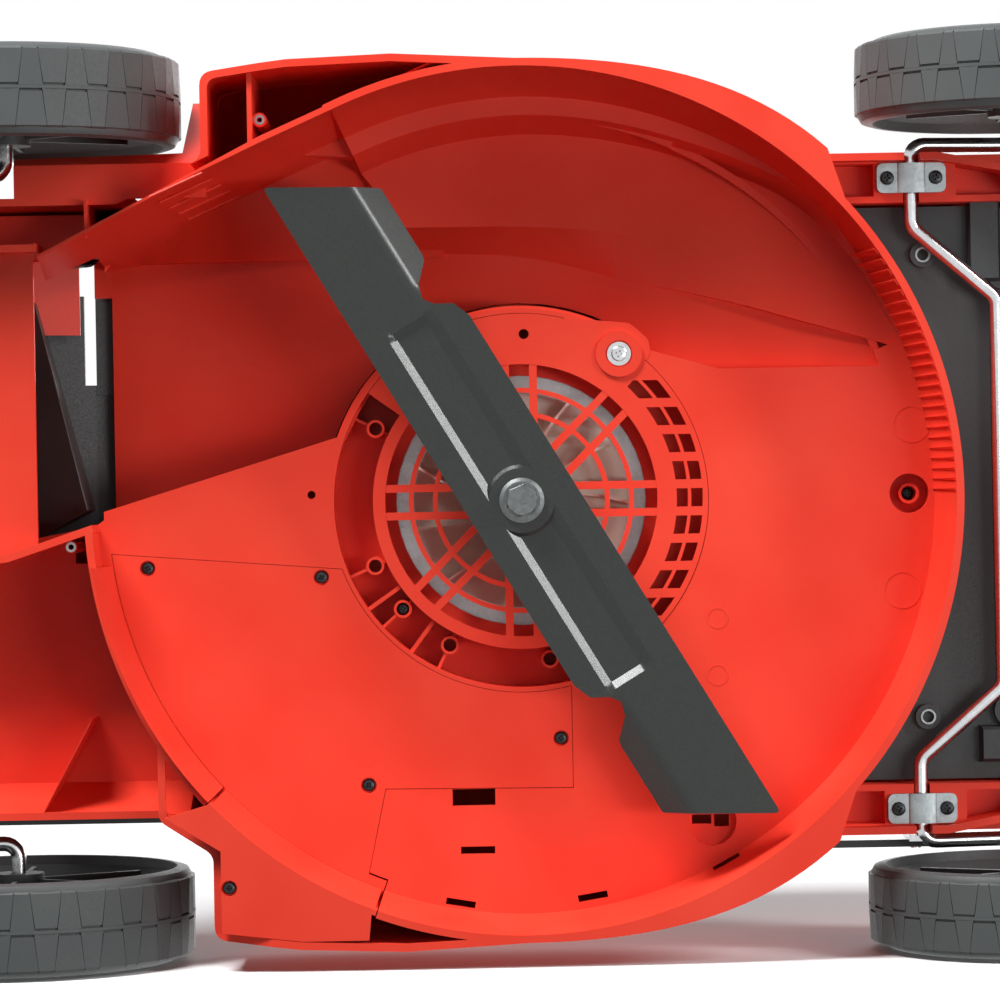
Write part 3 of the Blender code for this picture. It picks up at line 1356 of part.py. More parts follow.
def main():
    clear_scene()
    mower = body("mower")
    piece("deck_housing", housing_details(deck_housing()), RED)
    piece("deck_cover_plate", deck_cover_plate(), RED)
    piece("cooling_grille", cooling_grille(), RED)
    piece("front_cover", front_cover(), BLACK)
    piece("motor_hood", motor_hood(), BLACK)
    piece("motor_lower_bracket", motor_lower_bracket(), ALUMINIUM)
    piece("motor_upper_bracket", motor_upper_bracket(), ALUMINIUM)
    piece("motor_stator", ring(ARMATURE_RADIUS + 0.0008, STATOR_RADIUS, STATOR_LOW, STATOR_TOP), STEEL)
    piece("lower_bearing", bearing(BRACKET_LOW + 0.003 + GAP), STEEL)
    piece("upper_bearing", bearing(UPPER_PLATE + 0.003 + GAP), STEEL)
    for name, side in (("left", 1), ("right", -1)):
        piece("carbon_brush_" + name, carbon_brush(side), CARBON)
        piece("front_axle_clamp_" + name, clamp(side * CLAMP_X, FRONT_PIVOT_Y, FRONT_PIVOT_Z), ZINC)
        piece("rear_axle_clamp_" + name, clamp(side * REAR_CLAMP_X, REAR_PIVOT_Y, REAR_PIVOT_Z), ZINC)
        piece("lower_handle_" + name, lower_handle(side), BLACK)
    piece("height_quadrant", height_quadrant(), STEEL)
    pin_end = FLAP_HALF + EAR_REACH
    pin = across(disc(PIN_RADIUS, -pin_end, pin_end, 12), 0, *FLAP_PIN)
    piece("flap_hinge_pin", pin, STEEL)

    body("blade_rotor", (0, 0, BLADE_HEIGHT), "mower")
    piece("cutting_blade", cutting_blade(), BLADE_BLACK, "blade_rotor")
    piece("blade_bolt", blade_bolt(), ZINC, "blade_rotor")
    piece("blade_adapter", blade_adapter(), ALUMINIUM, "blade_rotor")
    piece("cooling_fan", cooling_fan(), PALE, "blade_rotor")
    piece("motor_shaft", motor_shaft(), STEEL, "blade_rotor")
    core = ring(SHAFT_RADIUS + GAP, ARMATURE_RADIUS, STATOR_LOW + 0.010, STATOR_TOP - 0.008)
    piece("armature", core, COPPER, "blade_rotor")
    bars = ring(SHAFT_RADIUS + GAP, COMMUTATOR_RADIUS, UPPER_LOW, UPPER_LOW + COMMUTATOR_HEIGHT, 24)
    piece("commutator", bars, COPPER, "blade_rotor")

    body("front_axle", (0, FRONT_PIVOT_Y, FRONT_PIVOT_Z), "mower")
    piece("front_axle_rod", front_axle(), STEEL, "front_axle")
    body("rear_axle", (0, REAR_PIVOT_Y, REAR_PIVOT_Z), "mower")
    piece("rear_axle_rod", rear_axle(), STEEL, "rear_axle")
    piece("height_lever", height_lever(), STEEL, "rear_axle")
    piece("height_lever_grip", lever_grip(), BLACK, "rear_axle")
    body("tie_rod", (TIE_REAR_X, REAR_PIVOT_Y, REAR_PIN_Z), "rear_axle")
    piece("height_tie_rod", height_tie_rod(), BLACK, "tie_rod")

    for end, axle, y, radius, width in (
        ("front", "front_axle", WHEEL_CENTRE_FRONT, FRONT_WHEEL_RADIUS, FRONT_WHEEL_WIDTH),
        ("rear", "rear_axle", WHEEL_CENTRE_REAR, REAR_WHEEL_RADIUS, REAR_WHEEL_WIDTH),
    ):
        for name, side in (("left", 1), ("right", -1)):
            wheel_name = end + "_wheel_" + name
            inner = WHEEL_OUTER - width
            body(wheel_name, (side * (inner + width / 2), y, radius), axle)
            for part, mesh, finish in (
                (wheel_name, wheel(radius, width), DARK_GREY),
                (end + "_hub_cap_" + name, hub_cap(width), RED),
            ):
                placed = aimed(mesh, (1, 0, 0), (inner, y, radius))
                piece(part, placed if side > 0 else mirrored(placed), finish, wheel_name)

    body("flap", (0, *FLAP_PIN), "mower")
    piece("rear_flap", rear_flap(), BLACK, "flap")

    body("upper_handle", HANDLE_PIVOT, "mower")
    piece("upper_handle_tube", upper_handle(), BLACK, "upper_handle")
    piece("handle_grip", handle_grip(), RUBBER, "upper_handle")
    piece("switch_box_front", box_front(), BLACK, "upper_handle")
    piece("switch_box_back", box_back(), BLACK, "upper_handle")
    piece("power_inlet", power_inlet(), BLACK, "upper_handle")
    piece("cable_hook", cable_hook(), BLACK, "upper_handle")
    body("start_lever", HANDLE_END + ALONG * LEVER_PIVOT, "upper_handle")
    piece("start_lever_bar", start_lever(), RED, "start_lever")
    x, along = BUTTON_PLACE
    front = Vector((1, 0, 0)).cross(ALONG)
    place = HANDLE_END + Vector((x, 0, 0)) + ALONG * along + front * BOX_FRONT
    body("lock_button", place, "upper_handle")
    piece("lock_off_button", lock_button(), RED, "lock_button")
    for name, side in (("left", 1), ("right", -1)):
        piece("handle_bolt_" + name, handle_bolt(side), STEEL, "upper_handle")
        knob_x = side * (UPPER_X + TUBE_RADIUS + GAP)
        body("wing_knob_" + name, (knob_x, HANDLE_PIVOT.y, HANDLE_PIVOT.z), "upper_handle")
        piece("handle_knob_" + name, wing_knob(side), BLACK, "wing_knob_" + name)

    mower.location = (0, BLADE_Y, 0)
    bpy.context.view_layer.update()
    print("blade axis at y =", round(BLADE_Y, 6))
    for name, (empty, _) in BODIES.items():
        print(name, [round(v, 6) for v in empty.matrix_world.translation])


main()
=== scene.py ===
# %% [markdown]
# # An electric lawn mower, seen from below
#
# The mower stands on its wheels in the library's frame: +Z is up, the nose points along -Y and the handle
# along +Y. The photograph looks straight at its underside while it lies on its left side. So the camera here
# stands below the ground and looks up, rolled so that the nose points to the right of the picture.
#
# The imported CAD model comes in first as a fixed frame. Every piece made below sits where that frame says,
# and moves with the same body as the solid that it refines.

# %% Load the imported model
import math

import bmesh
import bpy
from mathutils import Matrix, Vector


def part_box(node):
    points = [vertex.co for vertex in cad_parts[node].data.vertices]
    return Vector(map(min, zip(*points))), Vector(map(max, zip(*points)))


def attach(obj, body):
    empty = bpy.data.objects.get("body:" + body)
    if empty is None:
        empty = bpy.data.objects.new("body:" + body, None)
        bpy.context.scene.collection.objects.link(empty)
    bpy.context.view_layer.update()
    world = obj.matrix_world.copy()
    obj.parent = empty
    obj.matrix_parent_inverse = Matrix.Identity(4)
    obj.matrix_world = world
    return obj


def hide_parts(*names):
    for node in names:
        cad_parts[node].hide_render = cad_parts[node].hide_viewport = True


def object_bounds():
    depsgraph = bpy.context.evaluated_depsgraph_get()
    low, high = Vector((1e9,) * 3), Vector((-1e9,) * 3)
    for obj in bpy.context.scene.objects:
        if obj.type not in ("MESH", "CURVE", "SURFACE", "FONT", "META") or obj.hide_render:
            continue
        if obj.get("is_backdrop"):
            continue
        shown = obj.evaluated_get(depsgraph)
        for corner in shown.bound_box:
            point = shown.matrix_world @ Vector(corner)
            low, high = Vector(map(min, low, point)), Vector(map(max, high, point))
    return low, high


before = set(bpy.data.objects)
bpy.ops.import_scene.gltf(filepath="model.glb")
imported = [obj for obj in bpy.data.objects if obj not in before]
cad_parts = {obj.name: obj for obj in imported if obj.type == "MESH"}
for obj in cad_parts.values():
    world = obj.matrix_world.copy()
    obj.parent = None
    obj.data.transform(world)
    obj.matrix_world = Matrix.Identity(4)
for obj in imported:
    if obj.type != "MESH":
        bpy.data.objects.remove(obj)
cad_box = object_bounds()
shaft_low, shaft_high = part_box("motor_shaft")
BLADE_Y = (shaft_low.y + shaft_high.y) / 2
print(len(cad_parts), "nodes in the CAD box", [tuple(round(v, 4) for v in corner) for corner in cad_box])
print("blade axis at y =", round(BLADE_Y, 4))

# %% [markdown]
# ## The camera
#
# The photograph was taken from far away with a long lens, because a wheel's near and far edges are almost
# the same size in it. The blade's circle and the wheels give its distance, 2.10 m below the ground, and its
# scale. It is rolled by one degree. The offset is its place beside the blade's axis.

# %% Camera below the ground, looking up
CAMERA_DISTANCE = 2.10
CAMERA_OFFSET = (-0.0004, 0.0115)
FOCAL_PIXELS = 4046
PICTURE_PIXELS = 1000
SENSOR = 36.0
ROLL = math.asin(0.0185)
right = Vector((math.sin(ROLL), -math.cos(ROLL), 0))
up = Vector((-math.cos(ROLL), -math.sin(ROLL), 0))
camera_data = bpy.data.cameras.new("photo_camera")
camera_data.sensor_width = SENSOR
camera_data.lens = FOCAL_PIXELS / PICTURE_PIXELS * SENSOR
camera_data.clip_end = 50
camera = bpy.data.objects.new("photo_camera", camera_data)
bpy.context.scene.collection.objects.link(camera)
place = Vector((CAMERA_OFFSET[0], BLADE_Y + CAMERA_OFFSET[1], -CAMERA_DISTANCE))
turn = Matrix((right, up, right.cross(up))).transposed().to_4x4()
camera.matrix_world = Matrix.Translation(place) @ turn
bpy.context.scene.camera = camera
print("lens", round(camera_data.lens, 1), "mm at", tuple(round(v, 3) for v in place))

# %% [markdown]
# ## Floor, light and background
#
# In the photograph the mower lies on its left wheels on a white floor. In the library's frame that floor is
# the upright plane just outside the left wheels. A second floor lies at ground level for views from above.
# Both are only seen by the camera and only from the side that carries the mower: from behind they are
# clear, and they take no light away from it. The background is white for the camera and for reflections,
# and gives almost no light by itself, because the photograph's shadows are deep.
#
# Three lamps light the underside. The shading of the walls gives their places: the main one stands low
# behind the mower on its right, so that the walls throw long shadows, and two weak ones fill in from the
# front. Two more lamps light the upper side for other views.

# %% One function that adds a node with its settings and links
def hex_colour(code):
    """A colour written as sRGB hex, turned to the linear values that shaders use."""
    parts = [int(code[i : i + 2], 16) / 255 for i in (1, 3, 5)]
    linear = [c / 12.92 if c <= 0.04045 else ((c + 0.055) / 1.055) ** 2.4 for c in parts]
    return (*linear, 1.0)


def add_node(tree, kind, settings=None, **inputs):
    """Adds a node. Settings are its own properties; inputs are values or sockets for its named inputs."""
    node = tree.nodes.new(kind)
    for name, value in (settings or {}).items():
        setattr(node, name, value)
    for name, value in inputs.items():
        wanted = name.replace("_", " ").lower()
        socket = next(s for s in node.inputs if s.enabled and s.name.lower() == wanted)
        if isinstance(value, bpy.types.NodeSocket):
            tree.links.new(value, socket)
        else:
            socket.default_value = value
    return node


def new_material(name):
    material = bpy.data.materials.new(name)
    material.use_nodes = True
    material.node_tree.nodes.clear()
    return material, material.node_tree


# %% Floors and world
def floor_material(name, code):
    """A matt floor that can only be seen from its front."""
    material, tree = new_material(name)
    shader = add_node(tree, "ShaderNodeBsdfDiffuse", Color=hex_colour(code))
    clear = add_node(tree, "ShaderNodeBsdfTransparent")
    side = add_node(tree, "ShaderNodeNewGeometry")
    mix = add_node(tree, "ShaderNodeMixShader", Fac=side.outputs["Backfacing"])
    tree.links.new(shader.outputs[0], mix.inputs[1])
    tree.links.new(clear.outputs[0], mix.inputs[2])
    add_node(tree, "ShaderNodeOutputMaterial", Surface=mix.outputs[0])
    return material


def floor_plane(name, corners, material):
    mesh = bpy.data.meshes.new(name)
    mesh.from_pydata(corners, [], [(0, 1, 2, 3)])
    mesh.materials.append(material)
    plane = bpy.data.objects.new(name, mesh)
    bpy.context.scene.collection.objects.link(plane)
    plane.visible_shadow = False
    plane.visible_diffuse = False
    plane.visible_glossy = False
    plane.visible_transmission = False
    plane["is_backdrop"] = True
    return plane


def oblong(half_x, half_y, x=0.0, y=0.0):
    """The corners of a rectangle round a point, anticlockwise."""
    return [(x + a * half_x, y + b * half_y) for a, b in ((-1, -1), (1, -1), (1, 1), (-1, 1))]


FLOOR_REACH = 4.0
FLOOR_WHITE = "#F4F4F5"
SIDE_GAP = 0.001
square = oblong(FLOOR_REACH, FLOOR_REACH)
side_x = cad_box[1].x + SIDE_GAP
for name, corners in (
    ("ground_floor", [(a, b, 0) for a, b in square]),
    ("side_floor", [(side_x, b, a) for a, b in square]),
):
    plane = floor_plane(name, corners, floor_material(name + "_paint", FLOOR_WHITE))
    print(plane.name, "faces", tuple(round(v, 1) for v in plane.data.polygons[0].normal))

DIFFUSE_STRENGTH = 0.06
world = bpy.data.worlds.new("studio")
bpy.context.scene.world = world
world.use_nodes = True
tree = world.node_tree
tree.nodes.clear()
path = add_node(tree, "ShaderNodeLightPath")
seen = add_node(tree, "ShaderNodeMath", {"operation": "MAXIMUM"})
tree.links.new(path.outputs["Is Camera Ray"], seen.inputs[0])
either = add_node(tree, "ShaderNodeMath", {"operation": "MAXIMUM"})
tree.links.new(path.outputs["Is Transmission Ray"], either.inputs[0])
tree.links.new(path.outputs["Is Glossy Ray"], either.inputs[1])
tree.links.new(either.outputs[0], seen.inputs[1])
strength = add_node(tree, "ShaderNodeMapRange", Value=seen.outputs[0], To_Min=DIFFUSE_STRENGTH, To_Max=1.0)
white = add_node(tree, "ShaderNodeBackground", Color=(1, 1, 1, 1), Strength=strength.outputs[0])
add_node(tree, "ShaderNodeOutputWorld", Surface=white.outputs[0])
print("background of strength", DIFFUSE_STRENGTH, "for diffuse light")


# %% Lamps
def area_lamp(name, place, target, size, power):
    data = bpy.data.lights.new(name, "AREA")
    data.shape = "RECTANGLE"
    data.size, data.size_y = size
    data.energy = power
    lamp = bpy.data.objects.new(name, data)
    bpy.context.scene.collection.objects.link(lamp)
    aim = Vector(target) - Vector(place)
    lamp.rotation_euler = aim.to_track_quat("-Z", "Y").to_euler()
    lamp.location = place
    return lamp


UNDERSIDE = (0, BLADE_Y, 0.05)
for name, place, target, size, power in (
    ("photo_key", (-2.2, BLADE_Y + 1.1, -0.85), UNDERSIDE, (1.0, 0.8), 112),
    ("photo_low", (0.12, BLADE_Y - 1.2, -1.6), (-0.05, BLADE_Y, 0.05), (0.2, 1.0), 12),
    ("photo_strip", (-1.15, BLADE_Y - 1.9, -1.05), UNDERSIDE, (1.0, 0.3), 26),
    ("room_top", (-0.6, -0.8, 2.6), (0, 0, 0.3), (2.0, 2.0), 45),
    ("room_side", (2.4, -1.4, 1.4), (0, 0, 0.4), (1.6, 1.6), 18),
):
    area_lamp(name, place, target, size, power)
    print("lamp", name, power, "W")
bpy.context.scene.view_settings.view_transform = "Standard"

# %% [markdown]
# ## Finishes
#
# Almost everything on this mower is moulded plastic, so the finishes differ mostly in gloss and in the fine
# grain that the steel mould leaves. Each material starts from a colour written as hex, mottles it a little
# over centimetres as real mouldings are, and adds a bump. The patterns read Object coordinates in metres, so
# their sizes are real sizes.

# %% Moulded plastics
def noise(tree, size_mm, detail=2.0):
    """Noise whose blobs are about size_mm wide on the object."""
    place = add_node(tree, "ShaderNodeTexCoord")
    where = place.outputs["Object"]
    return add_node(tree, "ShaderNodeTexNoise", Vector=where, Scale=1000.0 / size_mm, Detail=detail)


def spread(tree, value, low, high):
    """A pattern's middle values spread over the range from low to high."""
    given = {"From_Min": 0.3, "From_Max": 0.7, "To_Min": low, "To_Max": high}
    return add_node(tree, "ShaderNodeMapRange", Value=value, **given)


def mottled(tree, share, first, second):
    """A colour between two hex colours."""
    mix = add_node(tree, "ShaderNodeMix", {"data_type": "RGBA"})
    tree.links.new(share, mix.inputs["Factor"])
    for socket, code in zip([s for s in mix.inputs if s.type == "RGBA"], (first, second)):
        socket.default_value = hex_colour(code)
    return next(s for s in mix.outputs if s.type == "RGBA")


def surface(tree, colour, fine, gloss, depth, strength, **settings):
    """A shader whose gloss and bump follow the same fine pattern."""
    height = fine.outputs["Fac"]
    bump = add_node(tree, "ShaderNodeBump", Height=height, Distance=depth, Strength=strength)
    shader = add_node(
        tree,
        "ShaderNodeBsdfPrincipled",
        Base_Color=colour,
        Roughness=spread(tree, height, *gloss).outputs[0],
        Normal=bump.outputs[0],
        **settings,
    )
    add_node(tree, "ShaderNodeOutputMaterial", Surface=shader.outputs[0])


def moulded(name, first, second, gloss, grain_mm, depth, ior, **settings):
    """Plastic from a mould: mottled over 60 mm, with a grain of the given width in its surface."""
    material, tree = new_material(name)
    share = spread(tree, noise(tree, 60).outputs["Fac"], 0, 1).outputs[0]
    colour = mottled(tree, share, first, second)
    surface(tree, colour, noise(tree, grain_mm, 3.0), gloss, depth, 0.5, IOR=ior, **settings)
    return material


# ABS from a polished mould: bright, with a satin shine. Its grain of 0.2 mm is drawn 1.2 mm wide to show.
RED_ABS = moulded(
    "red_ABS_moulded", "#EA3D2B", "#F04835", (0.30, 0.42), 1.2, 0.00004, 1.53, Specular_IOR_Level=0.2
)
# Polypropylene from a spark-eroded mould: near black and matt.
BLACK_PP = moulded("black_polypropylene_textured", "#232526", "#2B2D2E", (0.45, 0.62), 0.9, 0.00010, 1.49)
# The deflector under the flap is the same black plastic from a polished mould, coloured lighter grey: a
# painted sheen for the light that it catches.
BLACK_PP_PAINTED_SHEEN = moulded("black_polypropylene_painted_sheen", "#4A4D4D", "#555858", (0.30, 0.42), 1.2, 0.00005, 1.49)
# The wheels are a harder, greyer polypropylene, dull all over.
WHEEL_PP = moulded("grey_polypropylene_wheel", "#3E4142", "#494C4C", (0.50, 0.66), 1.4, 0.00010, 1.49)
# Glass-filled nylon of the fan: off-white, with a fine grain.
FAN_NYLON = moulded("natural_nylon_fan", "#D8D0C2", "#E6DFD2", (0.40, 0.55), 1.6, 0.00005, 1.53)
# Synthetic rubber sleeve: matt black with a coarse grain.
GRIP_RUBBER = moulded("moulded_rubber_sleeve", "#191A1B", "#222324", (0.70, 0.85), 1.5, 0.00020, 1.52)
# Carbon of the motor's brushes: sooty black.
CARBON = moulded("pressed_carbon", "#161616", "#202020", (0.60, 0.80), 0.8, 0.00005, 1.5)
print("plastics:", [item.name for item in (RED_ABS, BLACK_PP, BLACK_PP_PAINTED_SHEEN, WHEEL_PP, FAN_NYLON, GRIP_RUBBER)])


# %% Metals and paint on metal
def metal(name, first, second, gloss, grain_mm, depth, shine=1.0, **settings):
    """Bare or plated metal whose colour and gloss change from grain to grain."""
    material, tree = new_material(name)
    where = add_node(tree, "ShaderNodeTexCoord").outputs["Object"]
    grains = add_node(tree, "ShaderNodeTexVoronoi", Vector=where, Scale=1000.0 / grain_mm, Randomness=1.0)
    colour = mottled(tree, grains.outputs["Color"], first, second)
    surface(tree, colour, noise(tree, grain_mm / 3), gloss, depth, 0.4, Metallic=shine, **settings)
    return material


# Hot-dip galvanised strip: pale grey crystals about 5 mm wide, dull.
GALVANISED = metal("galvanised_steel_strip", "#868C8E", "#9AA0A1", (0.42, 0.60), 5.0, 0.00003)
# Drawn rod with bright zinc plate: smooth and nearly mirror-like.
ZINC_ROD = metal("bright_zinc_plated_rod", "#C4C6C8", "#D2D4D6", (0.14, 0.26), 3.0, 0.00001)
# Black oxide of the screws and bolts: dark metal with a soft shine.
BLACK_OXIDE = metal("black_oxide_fastener", "#2C2D2E", "#3A3B3C", (0.30, 0.45), 1.5, 0.00002)
# Worn zinc of the blade's bolt and washer: dark grey with a soft shine.
BOLT_ZINC = metal("dull_zinc_plated_bolt", "#5B5E5E", "#6E7171", (0.35, 0.50), 2.0, 0.00003)
# Die-cast aluminium of the motor's brackets and the blade's hub.
CAST_ALUMINIUM = metal("die_cast_aluminium", "#A9ABAC", "#B7B9BA", (0.40, 0.55), 2.5, 0.00005)
# Stacked sheet steel and ground shaft steel inside the motor.
BARE_STEEL = metal("ground_bare_steel", "#8E9092", "#9EA0A2", (0.25, 0.40), 2.0, 0.00002)
# Enamelled copper wire of the windings.
WOUND_COPPER = metal("enamelled_copper_winding", "#A65A34", "#B96C42", (0.30, 0.45), 1.2, 0.00010)
# Powder coat on sheet steel of the blade: near black, slightly greenish, with a soft shine.
BLADE_PAINT = metal(
    "powder_coated_blade_steel", "#282B29", "#2F3230", (0.20, 0.30), 1.2, 0.00004, 0.25, IOR=1.5
)
# Powder coat on the handle's tube: black and satin.
TUBE_PAINT = metal(
    "powder_coated_tube", "#1B1C1D", "#222324", (0.30, 0.42), 1.0, 0.00005, 0.0, IOR=1.5
)

FINISH_OF_NODE = {
    BLACK_PP: ["front_cover", "motor_hood", "height_lever_grip", "rear_flap", "switch_box_front"]
    + ["switch_box_back", "power_inlet", "cable_hook", "handle_knob_left", "handle_knob_right"],
    CAST_ALUMINIUM: ["motor_lower_bracket", "motor_upper_bracket", "blade_adapter"],
    BARE_STEEL: ["motor_stator", "lower_bearing", "upper_bearing", "motor_shaft", "flap_hinge_pin"],
    CARBON: ["carbon_brush_left", "carbon_brush_right"],
    GALVANISED: ["front_axle_clamp_left", "front_axle_clamp_right", "rear_axle_clamp_left"]
    + ["rear_axle_clamp_right", "height_lever", "height_quadrant"],
    TUBE_PAINT: ["lower_handle_left", "lower_handle_right", "upper_handle_tube", "height_tie_rod"],
    BLADE_PAINT: ["cutting_blade"],
    BOLT_ZINC: ["blade_bolt", "handle_bolt_left", "handle_bolt_right"],
    FAN_NYLON: ["cooling_fan"],
    WOUND_COPPER: ["armature", "commutator"],
    ZINC_ROD: ["front_axle_rod", "rear_axle_rod"],
    WHEEL_PP: ["front_wheel_left", "front_wheel_right", "rear_wheel_left", "rear_wheel_right"],
    RED_ABS: ["deck_housing", "deck_cover_plate", "cooling_grille", "start_lever_bar", "lock_off_button"]
    + ["front_hub_cap_left", "front_hub_cap_right", "rear_hub_cap_left", "rear_hub_cap_right"],
    GRIP_RUBBER: ["handle_grip"],
}
for finish, names in FINISH_OF_NODE.items():
    for name in names:
        for slot in bpy.data.objects[name].material_slots:
            slot.material = finish
print(sum(len(names) for names in FINISH_OF_NODE.values()), "nodes have their finish")

# %% [markdown]
# ## Shapes from outlines
#
# A moulding is mostly walls and plates, so most pieces here start as a plan outline pulled up between two
# heights, a profile turned round an axis, or a section carried along a path. They are joined and cut with
# Blender's manifold Boolean, which stays exact where walls share a face. All of them are drawn round the
# blade's axis, and a finished piece is moved to its place in the frame once, at the end.

# %% Solids from loops
ROUND_SIDES = 48
DECK_SIDES = 180


def closed(mesh):
    """Turns all faces of a closed mesh outwards."""
    bmesh.ops.recalc_face_normals(mesh, faces=mesh.faces)
    if mesh.calc_volume(signed=True) < 0:
        bmesh.ops.reverse_faces(mesh, faces=mesh.faces)
    return mesh


def loft(loops):
    """A solid through loops of equally many points, with flat ends."""
    mesh = bmesh.new()
    rows = [[mesh.verts.new(point) for point in loop] for loop in loops]
    for low, high in zip(rows, rows[1:]):
        for i in range(len(low)):
            j = (i + 1) % len(low)
            mesh.faces.new((low[i], low[j], high[j], high[i]))
    mesh.faces.new(rows[0][::-1])
    mesh.faces.new(rows[-1])
    return closed(mesh)


def prism(outline, low, high):
    """A plan outline pulled up from low to high. Either may be a height or a function of the point."""

    def level(height, point):
        return height(*point) if callable(height) else height

    return loft([[(x, y, level(z, (x, y))) for x, y in outline] for z in (low, high)])


def side_prism(profile, left, right):
    """A profile of (y, z) points pulled across from left to right."""
    return loft([[(x, y, z) for y, z in profile] for x in (left, right)])


def box(low, high):
    (x0, y0, z0), (x1, y1, z1) = low, high
    return prism([(x0, y0), (x1, y0), (x1, y1), (x0, y1)], z0, z1)


def turned(profile, sides=ROUND_SIDES, start=0.0):
    """A closed profile of (radius, height) points turned round the Z axis. A point on the axis stays one."""
    mesh = bmesh.new()
    rings = []
    for radius, height in profile:
        if radius < 1e-7:
            rings.append([mesh.verts.new((0, 0, height))])
            continue
        turns = [start + 2 * math.pi * i / sides for i in range(sides)]
        rings.append([mesh.verts.new((radius * math.cos(a), radius * math.sin(a), height)) for a in turns])
    for one, two in zip(rings, rings[1:] + rings[:1]):
        for i in range(sides):
            j = (i + 1) % sides
            around = [one[i % len(one)], one[j % len(one)], two[j % len(two)], two[i % len(two)]]
            corners = list(dict.fromkeys(around))
            if len(corners) > 2:
                mesh.faces.new(corners)
    return closed(mesh)


def disc(radius, low, high, sides=ROUND_SIDES):
    return turned([(0, low), (radius, low), (radius, high), (0, high)], sides)


def ring(inner, outer, low, high, sides=ROUND_SIDES):
    return turned([(inner, low), (outer, low), (outer, high), (inner, high)], sides)


# %% Outlines
def arc(radius, start, end, steps, centre=(0.0, 0.0)):
    turns = [start + (end - start) * i / steps for i in range(steps + 1)]
    return [(centre[0] + radius * math.cos(a), centre[1] + radius * math.sin(a)) for a in turns]


def deck_arc(radius, start, end):
    """Points of an arc round the blade's axis at the deck's even angles, so that its walls line up."""
    step = 2 * math.pi / DECK_SIDES
    low, high = sorted((start, end))
    inside = [i * step for i in range(math.floor(low / step), math.ceil(high / step) + 1)]
    turns = [low] + [turn for turn in inside if low + step / 4 < turn < high - step / 4] + [high]
    points = [(radius * math.cos(a), radius * math.sin(a)) for a in turns]
    return points if start < end else points[::-1]


def offset(outline, distance):
    """An anticlockwise outline moved inwards by distance, corner by corner."""
    result = []
    for i, (x, y) in enumerate(outline):
        before = Vector((x, y)) - Vector(outline[i - 1])
        after = Vector(outline[(i + 1) % len(outline)]) - Vector((x, y))
        first = Vector((-before.y, before.x)).normalized()
        second = Vector((-after.y, after.x)).normalized()
        middle = (first + second) / (1 + first.dot(second))
        result.append((x + middle.x * distance, y + middle.y * distance))
    return result


def softened(outline, radius, steps=5, least=0.4):
    """An outline whose corners sharper than the least angle are rounded to the radius."""
    result = []
    for i, corner in enumerate(outline):
        corner = Vector(corner)
        back = Vector(outline[i - 1]) - corner
        ahead = Vector(outline[(i + 1) % len(outline)]) - corner
        half = back.angle(ahead) / 2
        if math.pi - 2 * half < least:
            result.append(tuple(corner))
            continue
        reach = min(radius / math.tan(half), 0.45 * back.length, 0.45 * ahead.length)
        start, end = corner + back.normalized() * reach, corner + ahead.normalized() * reach
        for k in range(steps + 1):
            u = k / steps
            result.append(tuple((1 - u) ** 2 * start + 2 * u * (1 - u) * corner + u**2 * end))
    return result


def wall_strip(points, thickness, low, high):
    """An upright wall along plan points, on their left side."""
    back = []
    for i, point in enumerate(points):
        here = Vector(point)
        before = (here - Vector(points[i - 1])) if i else Vector(points[1]) - here
        after = (Vector(points[i + 1]) - here) if i + 1 < len(points) else before
        first = Vector((-before.y, before.x)).normalized()
        second = Vector((-after.y, after.x)).normalized()
        middle = (first + second) / (1 + first.dot(second))
        back.append(tuple(here + middle * thickness))
    return prism(list(points) + back[::-1], low, high)


def sector(inner, outer, start, end, low, high):
    """Part of a ring between two angles."""
    return prism(deck_arc(outer, start, end) + deck_arc(inner, end, start), low, high)


# %% Rods along paths
def rounded_path(points, radius, steps=8):
    """The points with each inner corner turned into a bend of the radius."""
    path = [Vector(points[0])]
    for before, corner, after in zip(points, points[1:], points[2:]):
        corner = Vector(corner)
        back = (Vector(before) - corner).normalized()
        ahead = (Vector(after) - corner).normalized()
        half = back.angle(ahead) / 2
        reach = radius / math.tan(half)
        centre = corner + (back + ahead).normalized() * (radius / math.sin(half))
        spoke = corner + back * reach - centre
        first = spoke.normalized()
        last = (corner + ahead * reach - centre).normalized()
        for i in range(steps + 1):
            path.append(centre + first.slerp(last, i / steps) * spoke.length)
    path.append(Vector(points[-1]))
    return path


def rod(path, radius, sides=24):
    """A solid rod along a path. The radius may be a number, or a list with one for each point."""
    path = [Vector(point) for point in path]
    radii = radius if isinstance(radius, list) else [radius] * len(path)
    heading = (path[1] - path[0]).normalized()
    side = heading.orthogonal().normalized()
    loops = []
    for i, point in enumerate(path):
        before = (point - path[i - 1]).normalized() if i else heading
        after = (path[i + 1] - point).normalized() if i + 1 < len(path) else before
        tangent = (before + after).normalized()
        side = heading.rotation_difference(before) @ side
        heading = before
        up = heading.cross(side)
        loop = []
        for k in range(sides):
            turn = 2 * math.pi * k / sides
            spoke = side * math.cos(turn) + up * math.sin(turn)
            reach = -spoke.dot(tangent) / heading.dot(tangent)
            loop.append(point + (spoke + heading * reach) * radii[i])
        loops.append(loop)
    return loft(loops)


# %% Placing and joining
def moved(mesh, matrix):
    mesh.transform(matrix)
    return mesh


def shift(mesh, x=0.0, y=0.0, z=0.0):
    return moved(mesh, Matrix.Translation((x, y, z)))


def spun(mesh, turn):
    return moved(mesh, Matrix.Rotation(turn, 4, "Z"))


def aimed(mesh, direction, place=(0, 0, 0)):
    """A mesh drawn round +Z, turned to the direction and put at the place."""
    turn = Vector((0, 0, 1)).rotation_difference(Vector(direction)).to_matrix().to_4x4()
    return moved(mesh, Matrix.Translation(place) @ turn)


def across(mesh, x, y, z):
    return aimed(mesh, (1, 0, 0), (x, y, z))


